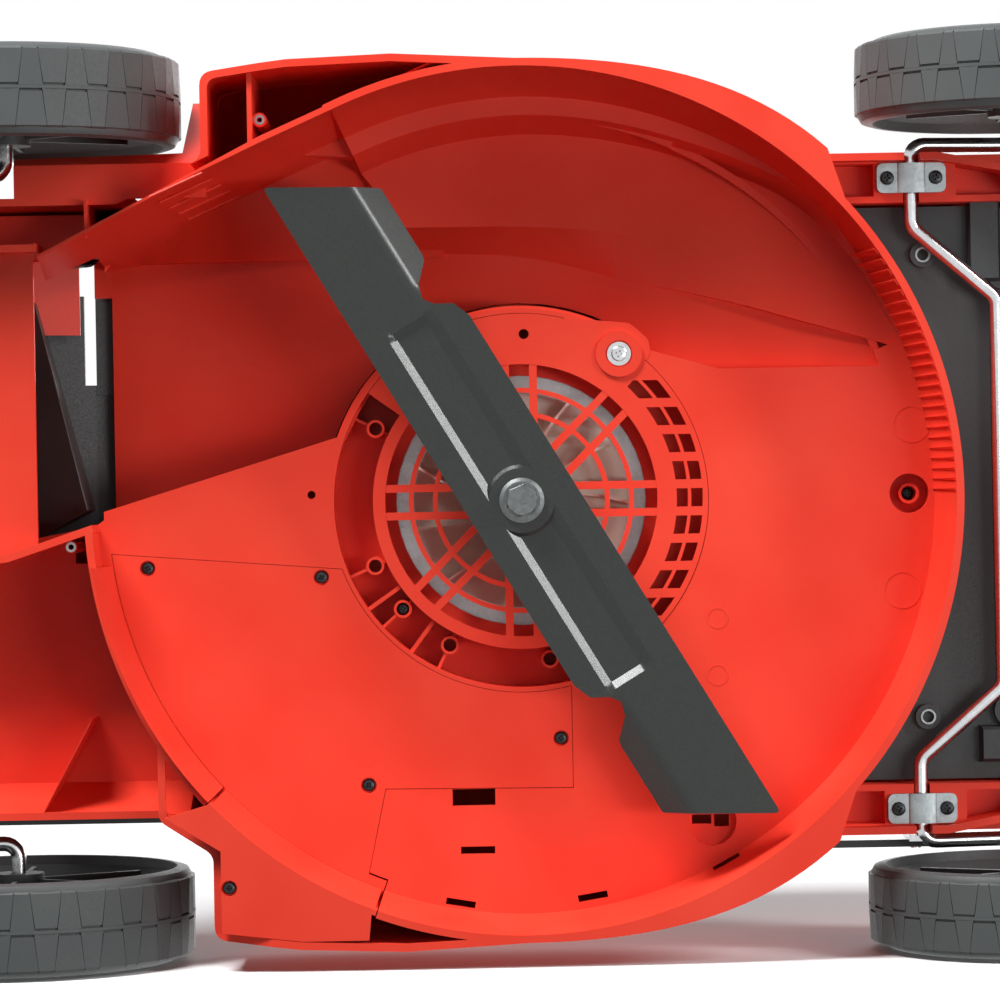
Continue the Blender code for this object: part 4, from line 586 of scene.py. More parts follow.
def mirrored(mesh):
    """The same mesh on the machine's other side."""
    twin = moved(mesh.copy(), Matrix.Scale(-1, 4, (1, 0, 0)))
    bmesh.ops.reverse_faces(twin, faces=twin.faces)
    return twin


def both(mesh):
    return [mesh, mirrored(mesh)]


def beside(*meshes):
    """Several closed meshes kept in one, without joining their surfaces."""
    whole = bmesh.new()
    for mesh in meshes:
        data = bpy.data.meshes.new("part")
        mesh.to_mesh(data)
        mesh.free()
        whole.from_mesh(data)
        bpy.data.meshes.remove(data)
    return whole


def combine(first, second, operation):
    holders = []
    for mesh in (first, second):
        data = bpy.data.meshes.new("shape")
        mesh.to_mesh(data)
        mesh.free()
        holder = bpy.data.objects.new("shape", data)
        bpy.context.scene.collection.objects.link(holder)
        holders.append(holder)
    step = holders[0].modifiers.new("combine", "BOOLEAN")
    step.operation = operation
    step.solver = "MANIFOLD"
    step.object = holders[1]
    graph = bpy.context.evaluated_depsgraph_get()
    data = bpy.data.meshes.new_from_object(holders[0].evaluated_get(graph))
    result = bmesh.new()
    result.from_mesh(data)
    for holder in holders:
        bpy.data.meshes.remove(holder.data)
    bpy.data.meshes.remove(data)
    return result


def fused(*meshes):
    whole = meshes[0]
    for mesh in meshes[1:]:
        whole = combine(whole, mesh, "UNION")
    return whole


def less(whole, *cutters):
    for cutter in cutters:
        whole = combine(whole, cutter, "DIFFERENCE")
    return whole


# %% Finishing a piece
def finished(name, mesh, finish, on, replaces=(), sharp=32, edge=0.0):
    """Makes a piece of a mesh drawn round the blade's axis, rounds its edges and lets it ride on a body."""
    shift(mesh, 0, BLADE_Y, 0)
    data = bpy.data.meshes.new(name)
    mesh.to_mesh(data)
    mesh.free()
    data.shade_smooth()
    data.set_sharp_from_angle(angle=math.radians(sharp))
    piece = bpy.data.objects.new(name, data)
    bpy.context.scene.collection.objects.link(piece)
    if edge:
        step = piece.modifiers.new("edge", "BEVEL")
        step.width = edge
        step.segments = 2
        step.limit_method = "ANGLE"
        step.angle_limit = math.radians(sharp)
    step = piece.modifiers.new("shading", "WEIGHTED_NORMAL")
    step.keep_sharp = True
    graph = bpy.context.evaluated_depsgraph_get()
    data = bpy.data.meshes.new_from_object(piece.evaluated_get(graph))
    piece.modifiers.clear()
    old = piece.data
    piece.data = data
    bpy.data.meshes.remove(old)
    data.materials.clear()
    data.materials.append(finish)
    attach(piece, on)
    if replaces:
        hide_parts(*replaces)
    print(name, len(data.polygons), "faces")


# %% [markdown]
# ## Deck housing
#
# The deck is one large red moulding. Seen from below it has a round rim that a flat flange widens towards
# the front wheels, a low plate under the motor, and a spiral channel that starts level with that plate at
# the front right and gets deeper on its way to the rear, where it throws the grass out under the flap. It
# could be sculpted as one surface, but its edges are crisp, so the walls, plates and pockets are made as
# solids and joined with Booleans, as a toolmaker cuts a mould.

# %% Sizes of the deck in metres, from the blade's axis
WALL = 0.004
GAP = 0.0003
RIM_HEIGHT = 0.025
PLATE_HEIGHT = 0.080
SKIRT_INNER = 0.2285
SKIRT_OUTER = SKIRT_INNER + WALL
FLANGE_BULGE = 0.0125
FLANGE_START = math.radians(-42)
DECK_TOP = 0.158
BODY_LOW = 0.060
EDGE_LOW = 0.112
NOSE_HALF = 0.182
NOSE_REACH = 0.300
NOSE_HEIGHT = 0.118
REAR_HALF = 0.166
REAR_REACH = 0.356
SHOULDER_BACK = 0.165
ROOF_BREAK = 0.228
ROOF_REAR = 0.108
TUNNEL_END = 0.225
TUNNEL_OUTER = 0.206
CHUTE_HALF = 0.137
CHUTE_ANGLE = math.radians(155)
POCKET_RADIUS = 0.101
POCKET_HEIGHT = PLATE_HEIGHT + 0.025
CHUTE_CORNER_Y = 0.2570
CHUTE_WALL_TOP = 0.170
CLEAR = 0.02
PAST_SIDES = SKIRT_OUTER + 0.05
print("deck", 2 * NOSE_HALF, "m wide at the nose, rim", 2 * SKIRT_OUTER, "m across")


# %% Plan outlines
def both_sides(points):
    """Points of the +X side, from nose to rear, and their mirror images on the way back."""
    return points + [(-x, y) for x, y in points[::-1]]


def flank():
    """The round side of the deck with the bulge of its flange."""
    points = []
    for x, y in deck_arc(1.0, FLANGE_START, 0):
        radius = SKIRT_OUTER + FLANGE_BULGE * math.sin(2.2 * math.atan2(y, x)) ** 2
        points.append((x * radius, y * radius))
    return points


def shoulder():
    return [
        (SKIRT_OUTER + 0.0035, SHOULDER_BACK - 0.100),
        (SKIRT_OUTER + 0.0015, SHOULDER_BACK - 0.045),
        (SKIRT_OUTER - 0.004, SHOULDER_BACK + 0.001),
        (REAR_HALF + 0.018, SHOULDER_BACK + 0.001),
        (REAR_HALF, SHOULDER_BACK + 0.030),
    ]


def deck_outline():
    nose = [
        (NOSE_HALF - 0.082, -NOSE_REACH),
        (NOSE_HALF - 0.033, -NOSE_REACH + 0.012),
        (NOSE_HALF - 0.007, -NOSE_REACH + 0.038),
        (NOSE_HALF, -NOSE_REACH + 0.075),
    ]
    return both_sides(nose + flank() + shoulder() + [(REAR_HALF, REAR_REACH)])


def skirt_outline():
    round_part = deck_arc(SKIRT_OUTER, math.radians(-85), FLANGE_START - math.radians(6))
    return both_sides(round_part + flank() + shoulder())


def roof_at(y):
    """The deck's height behind the break of its roof."""
    return DECK_TOP - (DECK_TOP - ROOF_REAR) * (y - ROOF_BREAK) / (REAR_REACH - ROOF_BREAK)


def roof(lowered):
    """The side view of the deck's top, as a profile of (y, z), lowered for the inside of the shell."""
    far = REAR_REACH + CLEAR
    top = [
        (-NOSE_REACH - CLEAR, NOSE_HEIGHT - 0.006),
        (-NOSE_REACH + 0.010, NOSE_HEIGHT),
        (-NOSE_REACH + 0.050, NOSE_HEIGHT + 0.014),
        (-NOSE_REACH + 0.090, NOSE_HEIGHT + 0.025),
        (-NOSE_REACH + 0.130, DECK_TOP - 0.008),
        (-NOSE_REACH + 0.165, DECK_TOP - 0.0025),
        (-0.100, DECK_TOP),
        (ROOF_BREAK, DECK_TOP),
        (far, roof_at(far)),
    ]
    return [(-NOSE_REACH - CLEAR, 0.0)] + [(y, z - lowered) for y, z in top] + [(far, 0.0)]


def body_block(inset, low, lowered):
    """The deck's body as a solid block, drawn in by the inset. Its upper edge is rounded in small steps."""
    # height, how far the outline is drawn in, and the share of the lowering
    levels = (
        (low, 0.0, 0.0),
        (EDGE_LOW, 0.0, 0.2),
        (EDGE_LOW + 0.011, 0.0012, 0.35),
        (EDGE_LOW + 0.022, 0.004, 0.5),
        (EDGE_LOW + 0.031, 0.008, 0.75),
        (DECK_TOP - 0.008, 0.0135, 0.9),
        (DECK_TOP - 0.003, 0.019, 0.95),
        (DECK_TOP + 0.001, 0.027, 1.0),
    )
    loops = []
    for height, draw, share in levels:
        points = softened(offset(deck_outline(), inset + draw), 0.010)
        loops.append([(x, y, height - lowered * share) for x, y in points])
    return combine(loft(loops), side_prism(roof(lowered), -PAST_SIDES, PAST_SIDES), "INTERSECT")


def within_body(mesh):
    """The part of a mesh that lies inside the deck's walls and roof."""
    return combine(mesh, body_block(WALL / 2, RIM_HEIGHT, WALL / 2), "INTERSECT")


print("deck outline", len(deck_outline()), "points, skirt outline", len(skirt_outline()), "points")

# %% Plan of the channel and its mouth
CHUTE_OUT = Vector((math.cos(CHUTE_ANGLE), math.sin(CHUTE_ANGLE)))
CHUTE_START = CHUTE_OUT * SKIRT_INNER
CHUTE_ALONG = (Vector((-CHUTE_HALF, CHUTE_CORNER_Y)) - CHUTE_START).normalized()
CHUTE_INNER = [(0.009, SKIRT_INNER), (0.024, SKIRT_INNER + 0.0465), (0.032, REAR_REACH)]
STEP_INNER = 0.069


def channel_height(x, y):
    """The height of the channel's ceiling, which rises from the nose to the rear."""
    return 0.086 + 0.064 * (y + TUNNEL_OUTER) / (TUNNEL_END + TUNNEL_OUTER)


def chute_outer():
    """The outer wall's inner face: off the skirt on a slant to the corner, then straight to the rear."""
    reach = (-CHUTE_HALF - CHUTE_START.x) / CHUTE_ALONG.x
    return [tuple(CHUTE_START), tuple(CHUTE_START + CHUTE_ALONG * reach), (-CHUTE_HALF, REAR_REACH)]


def channel_outline(rear):
    """Plan of the deep channel, from its front end round the blade and back to the given rear end."""
    start, corner = Vector(chute_outer()[0]), Vector(chute_outer()[1])
    outer_end = start.lerp(corner, (rear - start.y) / (corner.y - start.y))
    front = -math.pi / 2 - math.asin(STEP_INNER / TUNNEL_OUTER)
    outer = arc(TUNNEL_OUTER, front, CHUTE_ANGLE - 2 * math.pi, 60)
    side = [tuple(start + CHUTE_ALONG * 0.045), tuple(outer_end)]
    knee = TUNNEL_END - 0.007
    inner = [((rear - knee) * 0.3, rear), (0.0, knee), (-0.036, 0.098)]
    platform = arc(POCKET_RADIUS + 0.0025, math.radians(115), math.radians(218), 40)
    return (outer + side + inner + platform + [(-STEP_INNER, -0.108)])[::-1]


print("chute's corner at", tuple(round(v, 4) for v in chute_outer()[1]))

# %% The shell with its skirt, plate and chute walls
shell = fused(
    body_block(0, BODY_LOW, 0),
    prism(softened(skirt_outline(), 0.008), RIM_HEIGHT, EDGE_LOW - 0.01),
)
shell = less(
    shell,
    body_block(WALL, BODY_LOW - 0.02, WALL),
    prism(softened(offset(skirt_outline(), WALL), 0.006), RIM_HEIGHT - 0.01, EDGE_LOW + 0.001),
    disc(SKIRT_INNER, RIM_HEIGHT - CLEAR, PLATE_HEIGHT + 0.01, DECK_SIDES),
)
rim_start = math.atan2(CHUTE_INNER[0][1], CHUTE_INNER[0][0])
rim_end = CHUTE_ANGLE - 2 * math.pi
rim = deck_arc(SKIRT_OUTER, rim_end, rim_start) + deck_arc(SKIRT_INNER, rim_start, rim_end)
around_channel = offset(channel_outline(TUNNEL_END), -WALL)
shell = fused(
    shell,
    prism(rim, RIM_HEIGHT, PLATE_HEIGHT + WALL),
    disc(SKIRT_INNER + 0.001, PLATE_HEIGHT, PLATE_HEIGHT + WALL, DECK_SIDES),
    prism(around_channel, PLATE_HEIGHT, lambda x, y: channel_height(x, y) + WALL),
    wall_strip(chute_outer()[::-1], -WALL, RIM_HEIGHT, CHUTE_WALL_TOP),
    wall_strip(CHUTE_INNER, -WALL, RIM_HEIGHT, CHUTE_WALL_TOP),
)
LIP_FRONT = TUNNEL_END + 0.033
under = [(-NOSE_REACH - CLEAR, 0.0), (0.13, RIM_HEIGHT - 0.001), (LIP_FRONT, BODY_LOW - 0.008)]
kept = under + [(REAR_REACH, BODY_LOW), (REAR_REACH, roof_at(REAR_REACH))] + roof(0)[-3:0:-1]
shell = combine(shell, side_prism(kept, -PAST_SIDES, PAST_SIDES), "INTERSECT")
outer_start, outer_corner, outer_far = chute_outer()
mouth = [
    outer_corner,
    (outer_start[0] * 0.72, TUNNEL_END),
    (CHUTE_INNER[0][0] - 0.0024, TUNNEL_END),
    *CHUTE_INNER[:-1],
    (CHUTE_INNER[-1][0], REAR_REACH + CLEAR),
    (outer_far[0], REAR_REACH + CLEAR),
]
# The band of the low plate that the first steps take the place of
step_band = (0.2050, SKIRT_INNER - 0.0020, math.radians(204), math.radians(248))
shell = less(
    shell,
    prism(channel_outline(TUNNEL_END + 0.001), RIM_HEIGHT - CLEAR, channel_height),
    prism(mouth, RIM_HEIGHT - CLEAR, DECK_TOP + 0.05),
    sector(*step_band, PLATE_HEIGHT - 0.001, PLATE_HEIGHT + 0.0055),
)
print("shell", len(shell.faces), "faces")

# %% [markdown]
# ## Steps of the channel
#
# On the operator's right the channel's outer wall goes up in steps: a narrow ledge near the rim, then a
# broad ceiling, then a seam behind which the channel is deepest. The steps run out at the front, where the
# ceiling comes down to the level of the low plate, and they end at the wall that guides the grass to the
# rear. A loft through cross-sections follows that, because their widths and heights change all the way.

# %% Loft of the stepped wall on the -X side
STEP_STATIONS = (
    # turn, ledge's outer and inner radius, ceiling's radius, ledge z, ceiling z, then x and y of the
    # ceiling's inner edge, x and y of the seam, and the seam's z
    (155, 0.2160, 0.2060, 0.1980, 0.070, 0.103, -0.1495, 0.060, -0.1345, 0.060, 0.130),
    (168, 0.2160, 0.2062, 0.1982, 0.070, 0.103, -0.1495, 0.030, -0.1320, 0.030, 0.126),
    (180, 0.2165, 0.2068, 0.1990, 0.070, 0.102, -0.1490, 0.000, -0.1290, 0.000, 0.121),
    (192, 0.2175, 0.2082, 0.2005, 0.071, 0.100, -0.1470, -0.032, -0.1240, -0.030, 0.114),
    (204, 0.2195, 0.2115, 0.2040, 0.073, 0.097, -0.1420, -0.070, -0.1170, -0.066, 0.106),
    (213, 0.2222, 0.2170, 0.2095, 0.075, 0.093, -0.1365, -0.097, -0.1110, -0.094, 0.099),
    (221, 0.2246, 0.2230, 0.2160, 0.077, 0.089, -0.1310, -0.128, -0.1030, -0.125, 0.0925),
    (228, 0.2262, 0.2250, 0.2195, 0.079, 0.0865, -0.1270, -0.150, -0.0960, -0.148, 0.0890),
    (235, 0.2266, 0.2256, 0.2210, 0.080, 0.0845, -0.1225, -0.177, -0.0880, -0.175, 0.0865),
    (249, 0.2268, 0.2258, 0.2215, 0.080, 0.0825, -0.0860, -0.204, -0.0800, -0.201, 0.0842),
)
SKIRT_FOOT = 0.2292
FOOT_HEIGHT = 0.027


def step_section(station):
    """One cross-section of the stepped wall, from the rim inwards and back over the ceiling."""
    degrees, ledge_out, ledge_in, edge, ledge_z, ceiling_z, *inner_and_seam, seam_z = station
    inner, seam = inner_and_seam[:2], inner_and_seam[2:]
    turn = math.radians(degrees)

    def out(radius, height):
        return (radius * math.cos(turn), radius * math.sin(turn), height)

    top = max(channel_height(*seam) + 0.002, seam_z + 0.001)
    section = [out(SKIRT_FOOT, FOOT_HEIGHT), out(ledge_out, ledge_z), out(ledge_in, ledge_z + 0.0015)]
    section += [out(edge, ceiling_z), (*inner, ceiling_z), (*seam, seam_z), (*seam, top)]
    return section + [out(SKIRT_FOOT, top)]


def between_stations(stations, steps):
    """The stations with evenly blended ones in between, along a smooth curve through them."""
    last = len(stations) - 1
    rows = []
    for i in range(last):
        near = [stations[k] for k in (max(i - 1, 0), i, i + 1, min(i + 2, last))]
        for k in range(steps):
            u = k / steps
            row = []
            for a, b, c, d in zip(*near):
                bend = (2 * a - 5 * b + 4 * c - d) * u * u + (3 * b - a - 3 * c + d) * u**3
                row.append(b + 0.5 * ((c - a) * u + bend))
            rows.append(row)
    return rows + [stations[-1]]


steps_solid = within_body(loft([step_section(station) for station in between_stations(STEP_STATIONS, 6)]))
print("stepped wall", len(steps_solid.faces), "faces")

# %% Sloped face of the wall that guides the grass
GUIDE_FRONT, GUIDE_REAR, GUIDE_PARTS = 0.040, 0.2550, 14
GUIDE_WIDTH, GUIDE_RISE = 0.0155, 0.074
SEAM_X = -0.1345


def guide_foot(y):
    """The wall's foot at one y, on the line of the chute's outer wall."""
    return CHUTE_START.x + (y - CHUTE_START.y) * CHUTE_ALONG.x / CHUTE_ALONG.y - 0.0015


def guide_section(y):
    """Across the guide wall at one y: foot, shoulder, seam and back."""
    foot_x = guide_foot(y)
    shoulder_x = foot_x + 0.0015 + GUIDE_WIDTH / CHUTE_ALONG.y
    seam_x = max(SEAM_X, shoulder_x + 0.002)
    top = channel_height(seam_x, y) + 0.002
    return [
        (foot_x, y, FOOT_HEIGHT),
        (shoulder_x, y, FOOT_HEIGHT + GUIDE_RISE),
        (seam_x, y, min(0.131, top - 0.004)),
        (seam_x, y, top),
        (foot_x, y, top),
    ]


guide_step = (GUIDE_REAR - GUIDE_FRONT) / GUIDE_PARTS
guide_solid = loft([guide_section(GUIDE_FRONT + guide_step * i) for i in range(GUIDE_PARTS + 1)])
guide_solid = combine(guide_solid, side_prism(kept, -PAST_SIDES, PAST_SIDES), "INTERSECT")
guide_solid = within_body(guide_solid)
print("guide wall", len(guide_solid.faces), "faces")

# %% What is cut from the guide wall's outer side, so that its edge is thin
slope = GUIDE_WIDTH / CHUTE_ALONG.y / GUIDE_RISE
CUT_LOW, CUT_HIGH = 0.0150, 0.0900
sections = []
for y in (0.1010, 0.2565):
    foot_x = guide_foot(y)
    back = [(foot_x + slope * (z - FOOT_HEIGHT) - 0.0014, y, z) for z in (CUT_LOW, CUT_HIGH)]
    sections.append([(foot_x - 0.0047, y, CUT_LOW), *back, (foot_x - 0.0047, y, CUT_HIGH)])
outside_wall = loft(sections)
print("cut beside the guide wall", len(outside_wall.faces), "faces")

# %% Leaning inner face of the skirt
LEAN_INNER = 0.2226


def lean_section(turn, foot, inner, top, low=FOOT_HEIGHT):
    """A thin wedge from the skirt's foot to the low plate, at one turn round the axis."""
    points = ((foot, low), (inner, PLATE_HEIGHT), (top, PLATE_HEIGHT + 0.001))
    return [(r * math.cos(turn), r * math.sin(turn), z) for r, z in points]


sections = []
for degrees in range(226, 444, 2):
    inner = LEAN_INNER + 0.0040 * max(0.0, (240 - degrees) / 14)
    sections.append(lean_section(math.radians(degrees), SKIRT_INNER + 0.0006, inner, SKIRT_INNER + 0.0012))
skirt_lean = loft(sections)
print("skirt lining", len(skirt_lean.faces), "faces")

# %% [markdown]
# ## Rails, seats and lip
#
# The moulding carries what is screwed to it: rails for the front axle, blocks for the rear one, sockets for
# the handle, ears for the flap and a raised seat for the hood. Each is a small solid here, joined to the
# shell. They could be pieces of their own, but on the real deck they come from the same mould, so a Boolean
# joins them. First come the sizes that the deck shares with what it carries.

# %% Sizes shared with the pieces on the deck
AXLE_RADIUS = 0.004
FRONT_PIVOT_Y, FRONT_PIVOT_Z = -0.212, 0.075
REAR_PIVOT_Y, REAR_PIVOT_Z = 0.333, 0.085
CLAMP_X = NOSE_HALF - 0.013
REAR_CLAMP_X = REAR_HALF - 0.0145
HANDLE_TILT = math.radians(50)
ALONG_HANDLE = Vector((0, math.cos(HANDLE_TILT), math.sin(HANDLE_TILT)))
HANDLE_FOOT = Vector((0, ROOF_BREAK + 0.034, DECK_TOP - 0.008))
LOWER_X = REAR_HALF - 0.023
FLAP_HALF = LOWER_X - 0.025
FLAP_PIN = (TUNNEL_END - 0.004, DECK_TOP + 0.0065)
print("front axle at", (FRONT_PIVOT_Y, FRONT_PIVOT_Z), "rear axle at", (REAR_PIVOT_Y, REAR_PIVOT_Z))


# %% Rails, seats and lip
def hood_outline(half, length, sides=96):
    """A rounded oblong in plan."""
    points = []
    for i in range(sides):
        turn = 2 * math.pi * i / sides
        c, s = math.cos(turn), math.sin(turn)
        round_c, round_s = math.copysign(abs(c) ** 0.75, c), math.copysign(abs(s) ** 0.75, s)
        points.append((half * round_c, length / 2 * round_s))
    return points


def along_handle(mesh, x):
    """A mesh drawn round +Z from the handle's foot, laid along the handle."""
    return aimed(mesh, ALONG_HANDLE, HANDLE_FOOT + Vector((x, 0, 0)))


RAIL_INNER, RAIL_OUTER, POCKET_DEPTH = NOSE_HALF - 0.026, NOSE_HALF - 0.001, 0.017
rail_low = FRONT_PIVOT_Z - AXLE_RADIUS
rail = box((RAIL_INNER, -0.290, rail_low), (RAIL_OUTER, -0.166, FRONT_PIVOT_Z + 0.017))
for front, back in ((-0.192, -0.170), (-0.284, -0.236)):
    low = (RAIL_INNER + 0.0035, front, rail_low - 0.01)
    rail = less(rail, box(low, (RAIL_OUTER - WALL, back, rail_low + POCKET_DEPTH)))
LIP_LOW = 0.055
lip_profile = [
    (LIP_FRONT, LIP_LOW),
    (REAR_REACH, ROOF_REAR - 0.010),
    (REAR_REACH, ROOF_REAR - 0.006),
    (LIP_FRONT, LIP_LOW + WALL),
]
lip = side_prism(lip_profile, -CHUTE_HALF - WALL / 2, CHUTE_INNER[-1][0] + WALL / 2)
beyond_wall = [(x + WALL * 0.9, y) for x, y in CHUTE_INNER]
beyond_wall += [(0.0500, REAR_REACH + 0.01), (0.0500, SKIRT_INNER)]
lip = less(lip, prism(beyond_wall[::-1], RIM_HEIGHT, EDGE_LOW))
rear_block = box(
    (REAR_CLAMP_X - 0.012, REAR_PIVOT_Y - 0.022, REAR_PIVOT_Z - AXLE_RADIUS),
    (REAR_HALF - 0.001, REAR_REACH - 0.001, REAR_PIVOT_Z + 0.014),
)
hinge_ear = box(
    (FLAP_HALF + 0.003, FLAP_PIN[0] - 0.006, DECK_TOP - WALL / 2),
    (FLAP_HALF + 0.009, FLAP_PIN[0] + 0.006, FLAP_PIN[1] + 0.006),
)
TUBE_RADIUS, TUBE_DEPTH, SOCKET_RADIUS = 0.011, 0.045, 0.0163
socket = along_handle(disc(SOCKET_RADIUS, -TUBE_DEPTH, 0.012), LOWER_X)
lune = flank() + deck_arc(SKIRT_OUTER - 0.001, 0, FLANGE_START - math.radians(6))
flange = prism(lune, RIM_HEIGHT, EDGE_LOW - 0.01)
HOOD_HALF, HOOD_LENGTH = 0.138, 0.322
additions = [lip, prism(hood_outline(HOOD_HALF, HOOD_LENGTH), DECK_TOP - 0.003, DECK_TOP + 0.002)]
for shape in (rail, rear_block, hinge_ear, socket, flange):
    additions += both(shape)
shell = less(fused(shell, steps_solid, guide_solid, skirt_lean), outside_wall)
shell = fused(shell, *additions)
print("shell with rails", len(shell.faces), "faces")

# %% [markdown]
# ## Lining of the rear cavities
#
# Behind the rim the deck is open from below on both sides of the chute. In the photograph these cavities
# have red roofs and slanted sides, and a narrow slot beside the flap shows the white floor. Thin plates make
# the roofs, and a box cut through the roof of the left one leaves the slot open. They lie inside the deck's
# walls, so the outline doesn't change.

# %% Lining of the rear cavities
cavity_rear = REAR_REACH - WALL
cavity_plan = [(0.0120, 0.2430), (0.0300, 0.2430), (0.0300, 0.2240), (0.1470, 0.1800), (0.1500, 0.1900)]
cavity_plan += [(0.1500, cavity_rear), (0.0320, cavity_rear)]
cavity_roof = prism(cavity_plan, 0.1035, 0.1050)
side_section = [(0.1655, 0.0605), (0.1650, 0.1150), (0.1450, 0.1150), (0.1640, 0.0605)]
cavity_side = loft([[(x, y, z) for x, z in side_section] for y in (0.1800, 0.3520)])
gusset_ends = [(0.1630, 0.2590), (0.1650, 0.2596), (0.1150, 0.2326), (0.1130, 0.2320)]
gusset = prism(gusset_ends, 0.0610, 0.1040)
left_roof = box((-0.1600, 0.2300, 0.1060), (-0.1405, cavity_rear, 0.1075))
shell = fused(shell, cavity_roof, cavity_side, gusset, left_roof)
# The opening between the chute's wall and the flap, then a strip that closes its upper end
shell = less(shell, box((-0.1365, 0.2262, 0.0900), (-0.1100, 0.3000, DECK_TOP - 0.0005)))
strip_profile = [(0.2425, 0.1440), (0.3000, 0.1215), (0.3000, 0.1230), (0.2425, 0.1455)]
strip = side_prism(strip_profile, -0.1380, -0.0960)
strip_end = box((-0.1380, 0.2250, 0.1500), (-0.1165, 0.2348, 0.1515))
POST = (0.0205, 0.2405)
shell = fused(shell, strip, strip_end, shift(disc(0.0032, 0.0560, 0.1045, 32), *POST))
shell = less(shell, shift(disc(0.0014, 0.0500, 0.0900, 24), *POST))
print("shell with lined cavities", len(shell.faces), "faces")

# %% [markdown]
# ## Bosses, ribs and marks
#
# Screw bosses stand on the inside of the deck, a pocket surrounds the fan, and a row of ribs stiffens the
# skirt at the front. Rows of equal ribs could come from an Array modifier, but these have to melt into a
# round wall, so a short loop places them before they are joined. The round marks on the low plate are where
# the mould's pins push the part out.

# %% Bosses, pocket round the fan and small ribs
SCREW_POSTS = [(0.033, 0.2026), (0.040, 0.109), (0.128, -0.019), (0.152, 0.085), (0.201, 0.1575)]
FRONT_POSTS = [(0.118, -0.262), (-0.118, -0.262)]
POCKET_TUBES = [(-0.040, 0.078), (0.034, 0.0795), (0.0575, 0.065), (0.0775, 0.040), (0.086, -0.0139)]
COVER_THICKNESS = WALL - 0.001
FRONT_COVER_HEIGHT = PLATE_HEIGHT + 0.008
GRILLE_RADIUS = 0.080
LOBE = (-0.078, -0.054)
POST_RADIUS = 0.005
TUBE_WALL = (0.0035, 0.0049)
WEB_HALF = 0.0008

details = [
    ring(POCKET_RADIUS, POCKET_RADIUS + WALL, PLATE_HEIGHT + 0.001, POCKET_HEIGHT + WALL, DECK_SIDES),
    disc(POCKET_RADIUS + 0.001, POCKET_HEIGHT, POCKET_HEIGHT + WALL, DECK_SIDES),
]
on_plate = (PLATE_HEIGHT + COVER_THICKNESS + GAP, DECK_TOP - WALL / 2)
on_corner = (RIM_HEIGHT + COVER_THICKNESS + GAP, EDGE_LOW)
on_cover = (FRONT_COVER_HEIGHT + WALL + GAP, NOSE_HEIGHT + 0.0075)
for posts, (low, high) in (
    (SCREW_POSTS[:-1], on_plate),
    (SCREW_POSTS[-1:], on_corner),
    (FRONT_POSTS, on_cover),
):
    details += [shift(disc(POST_RADIUS, low, high, 24), x, y) for x, y in posts]
for x, y in POCKET_TUBES:
    details.append(shift(ring(*TUBE_WALL, PLATE_HEIGHT + 0.003, POCKET_HEIGHT + 0.001, 28), x, y))
    turn, reach = math.atan2(y, x), math.hypot(x, y)
    if turn > 0:
        for inner, outer, low in (
            (reach + 0.0040, POCKET_RADIUS + 0.001, PLATE_HEIGHT + 0.006),
            (GRILLE_RADIUS + 0.0008, reach - 0.0040, PLATE_HEIGHT + 0.010),
        ):
            details.append(spun(box((inner, -WEB_HALF, low), (outer, WEB_HALF, POCKET_HEIGHT)), turn))
for degrees in (37.0, 55.5):
    low = (GRILLE_RADIUS + 0.0006, -0.0011, PLATE_HEIGHT + 0.0005)
    high = (POCKET_RADIUS + 0.001, 0.0011, POCKET_HEIGHT)
    details.append(spun(box(low, high), math.radians(degrees)))
shell = fused(shell, *details)
print("shell with bosses", len(shell.faces), "faces")

# %% Rear corners, fender and louvre
CORNER_BOSS = (-0.2038, 0.1350)
corner_rib = box((-0.2280, 0.1385, 0.030), (-0.1890, 0.1410, 0.150))
corner_boss = shift(disc(0.0038, 0.040, 0.150, 28), *CORNER_BOSS)
cavity_rib = box((-0.1660, 0.2285, 0.052), (-0.1440, 0.2300, 0.150))
FENDER_ROOT, FENDER_KNEE, FENDER_LOW, FENDER_THICKNESS = -0.1650, -0.1835, 0.0600, 0.0030
FENDER_SPAN, FENDER_RISE = 0.039, 0.075
sections = []
for y, share in ((0.1655, 1.0), (0.1770, 1.0), (0.1785, 0.16), (0.2680, 0.10)):
    far_x, far_z = FENDER_KNEE - FENDER_SPAN * share, FENDER_LOW + FENDER_RISE * share
    under = [(FENDER_ROOT, FENDER_LOW), (FENDER_KNEE, FENDER_LOW), (far_x, far_z)]
    over = [(far_x, far_z + FENDER_THICKNESS), (FENDER_KNEE + 0.001, FENDER_LOW + FENDER_THICKNESS)]
    over += [(FENDER_ROOT, FENDER_LOW + FENDER_THICKNESS)]
    sections.append([(x, y, z) for x, z in under + over])
fender = loft(sections)
guide_in = Vector((CHUTE_ALONG.y, -CHUTE_ALONG.x))


def on_guide(along, inwards):
    """A point on the guide wall's sloped face."""
    plan = CHUTE_START + CHUTE_ALONG * along + guide_in * inwards
    return Vector((plan.x, plan.y, FOOT_HEIGHT + GUIDE_RISE * inwards / GUIDE_WIDTH))


louvre = []
for i in range(5):
    inwards, back = 0.0012 + 0.0033 * i, 0.0027 * i
    louvre.append(rod([on_guide(0.0755 - back, inwards), on_guide(0.1060 - back, inwards)], 0.0008, 8))
shell = fused(shell, within_body(fused(corner_rib, corner_boss, cavity_rib)), fender, *louvre)
print("shell with fender", len(shell.faces), "faces")

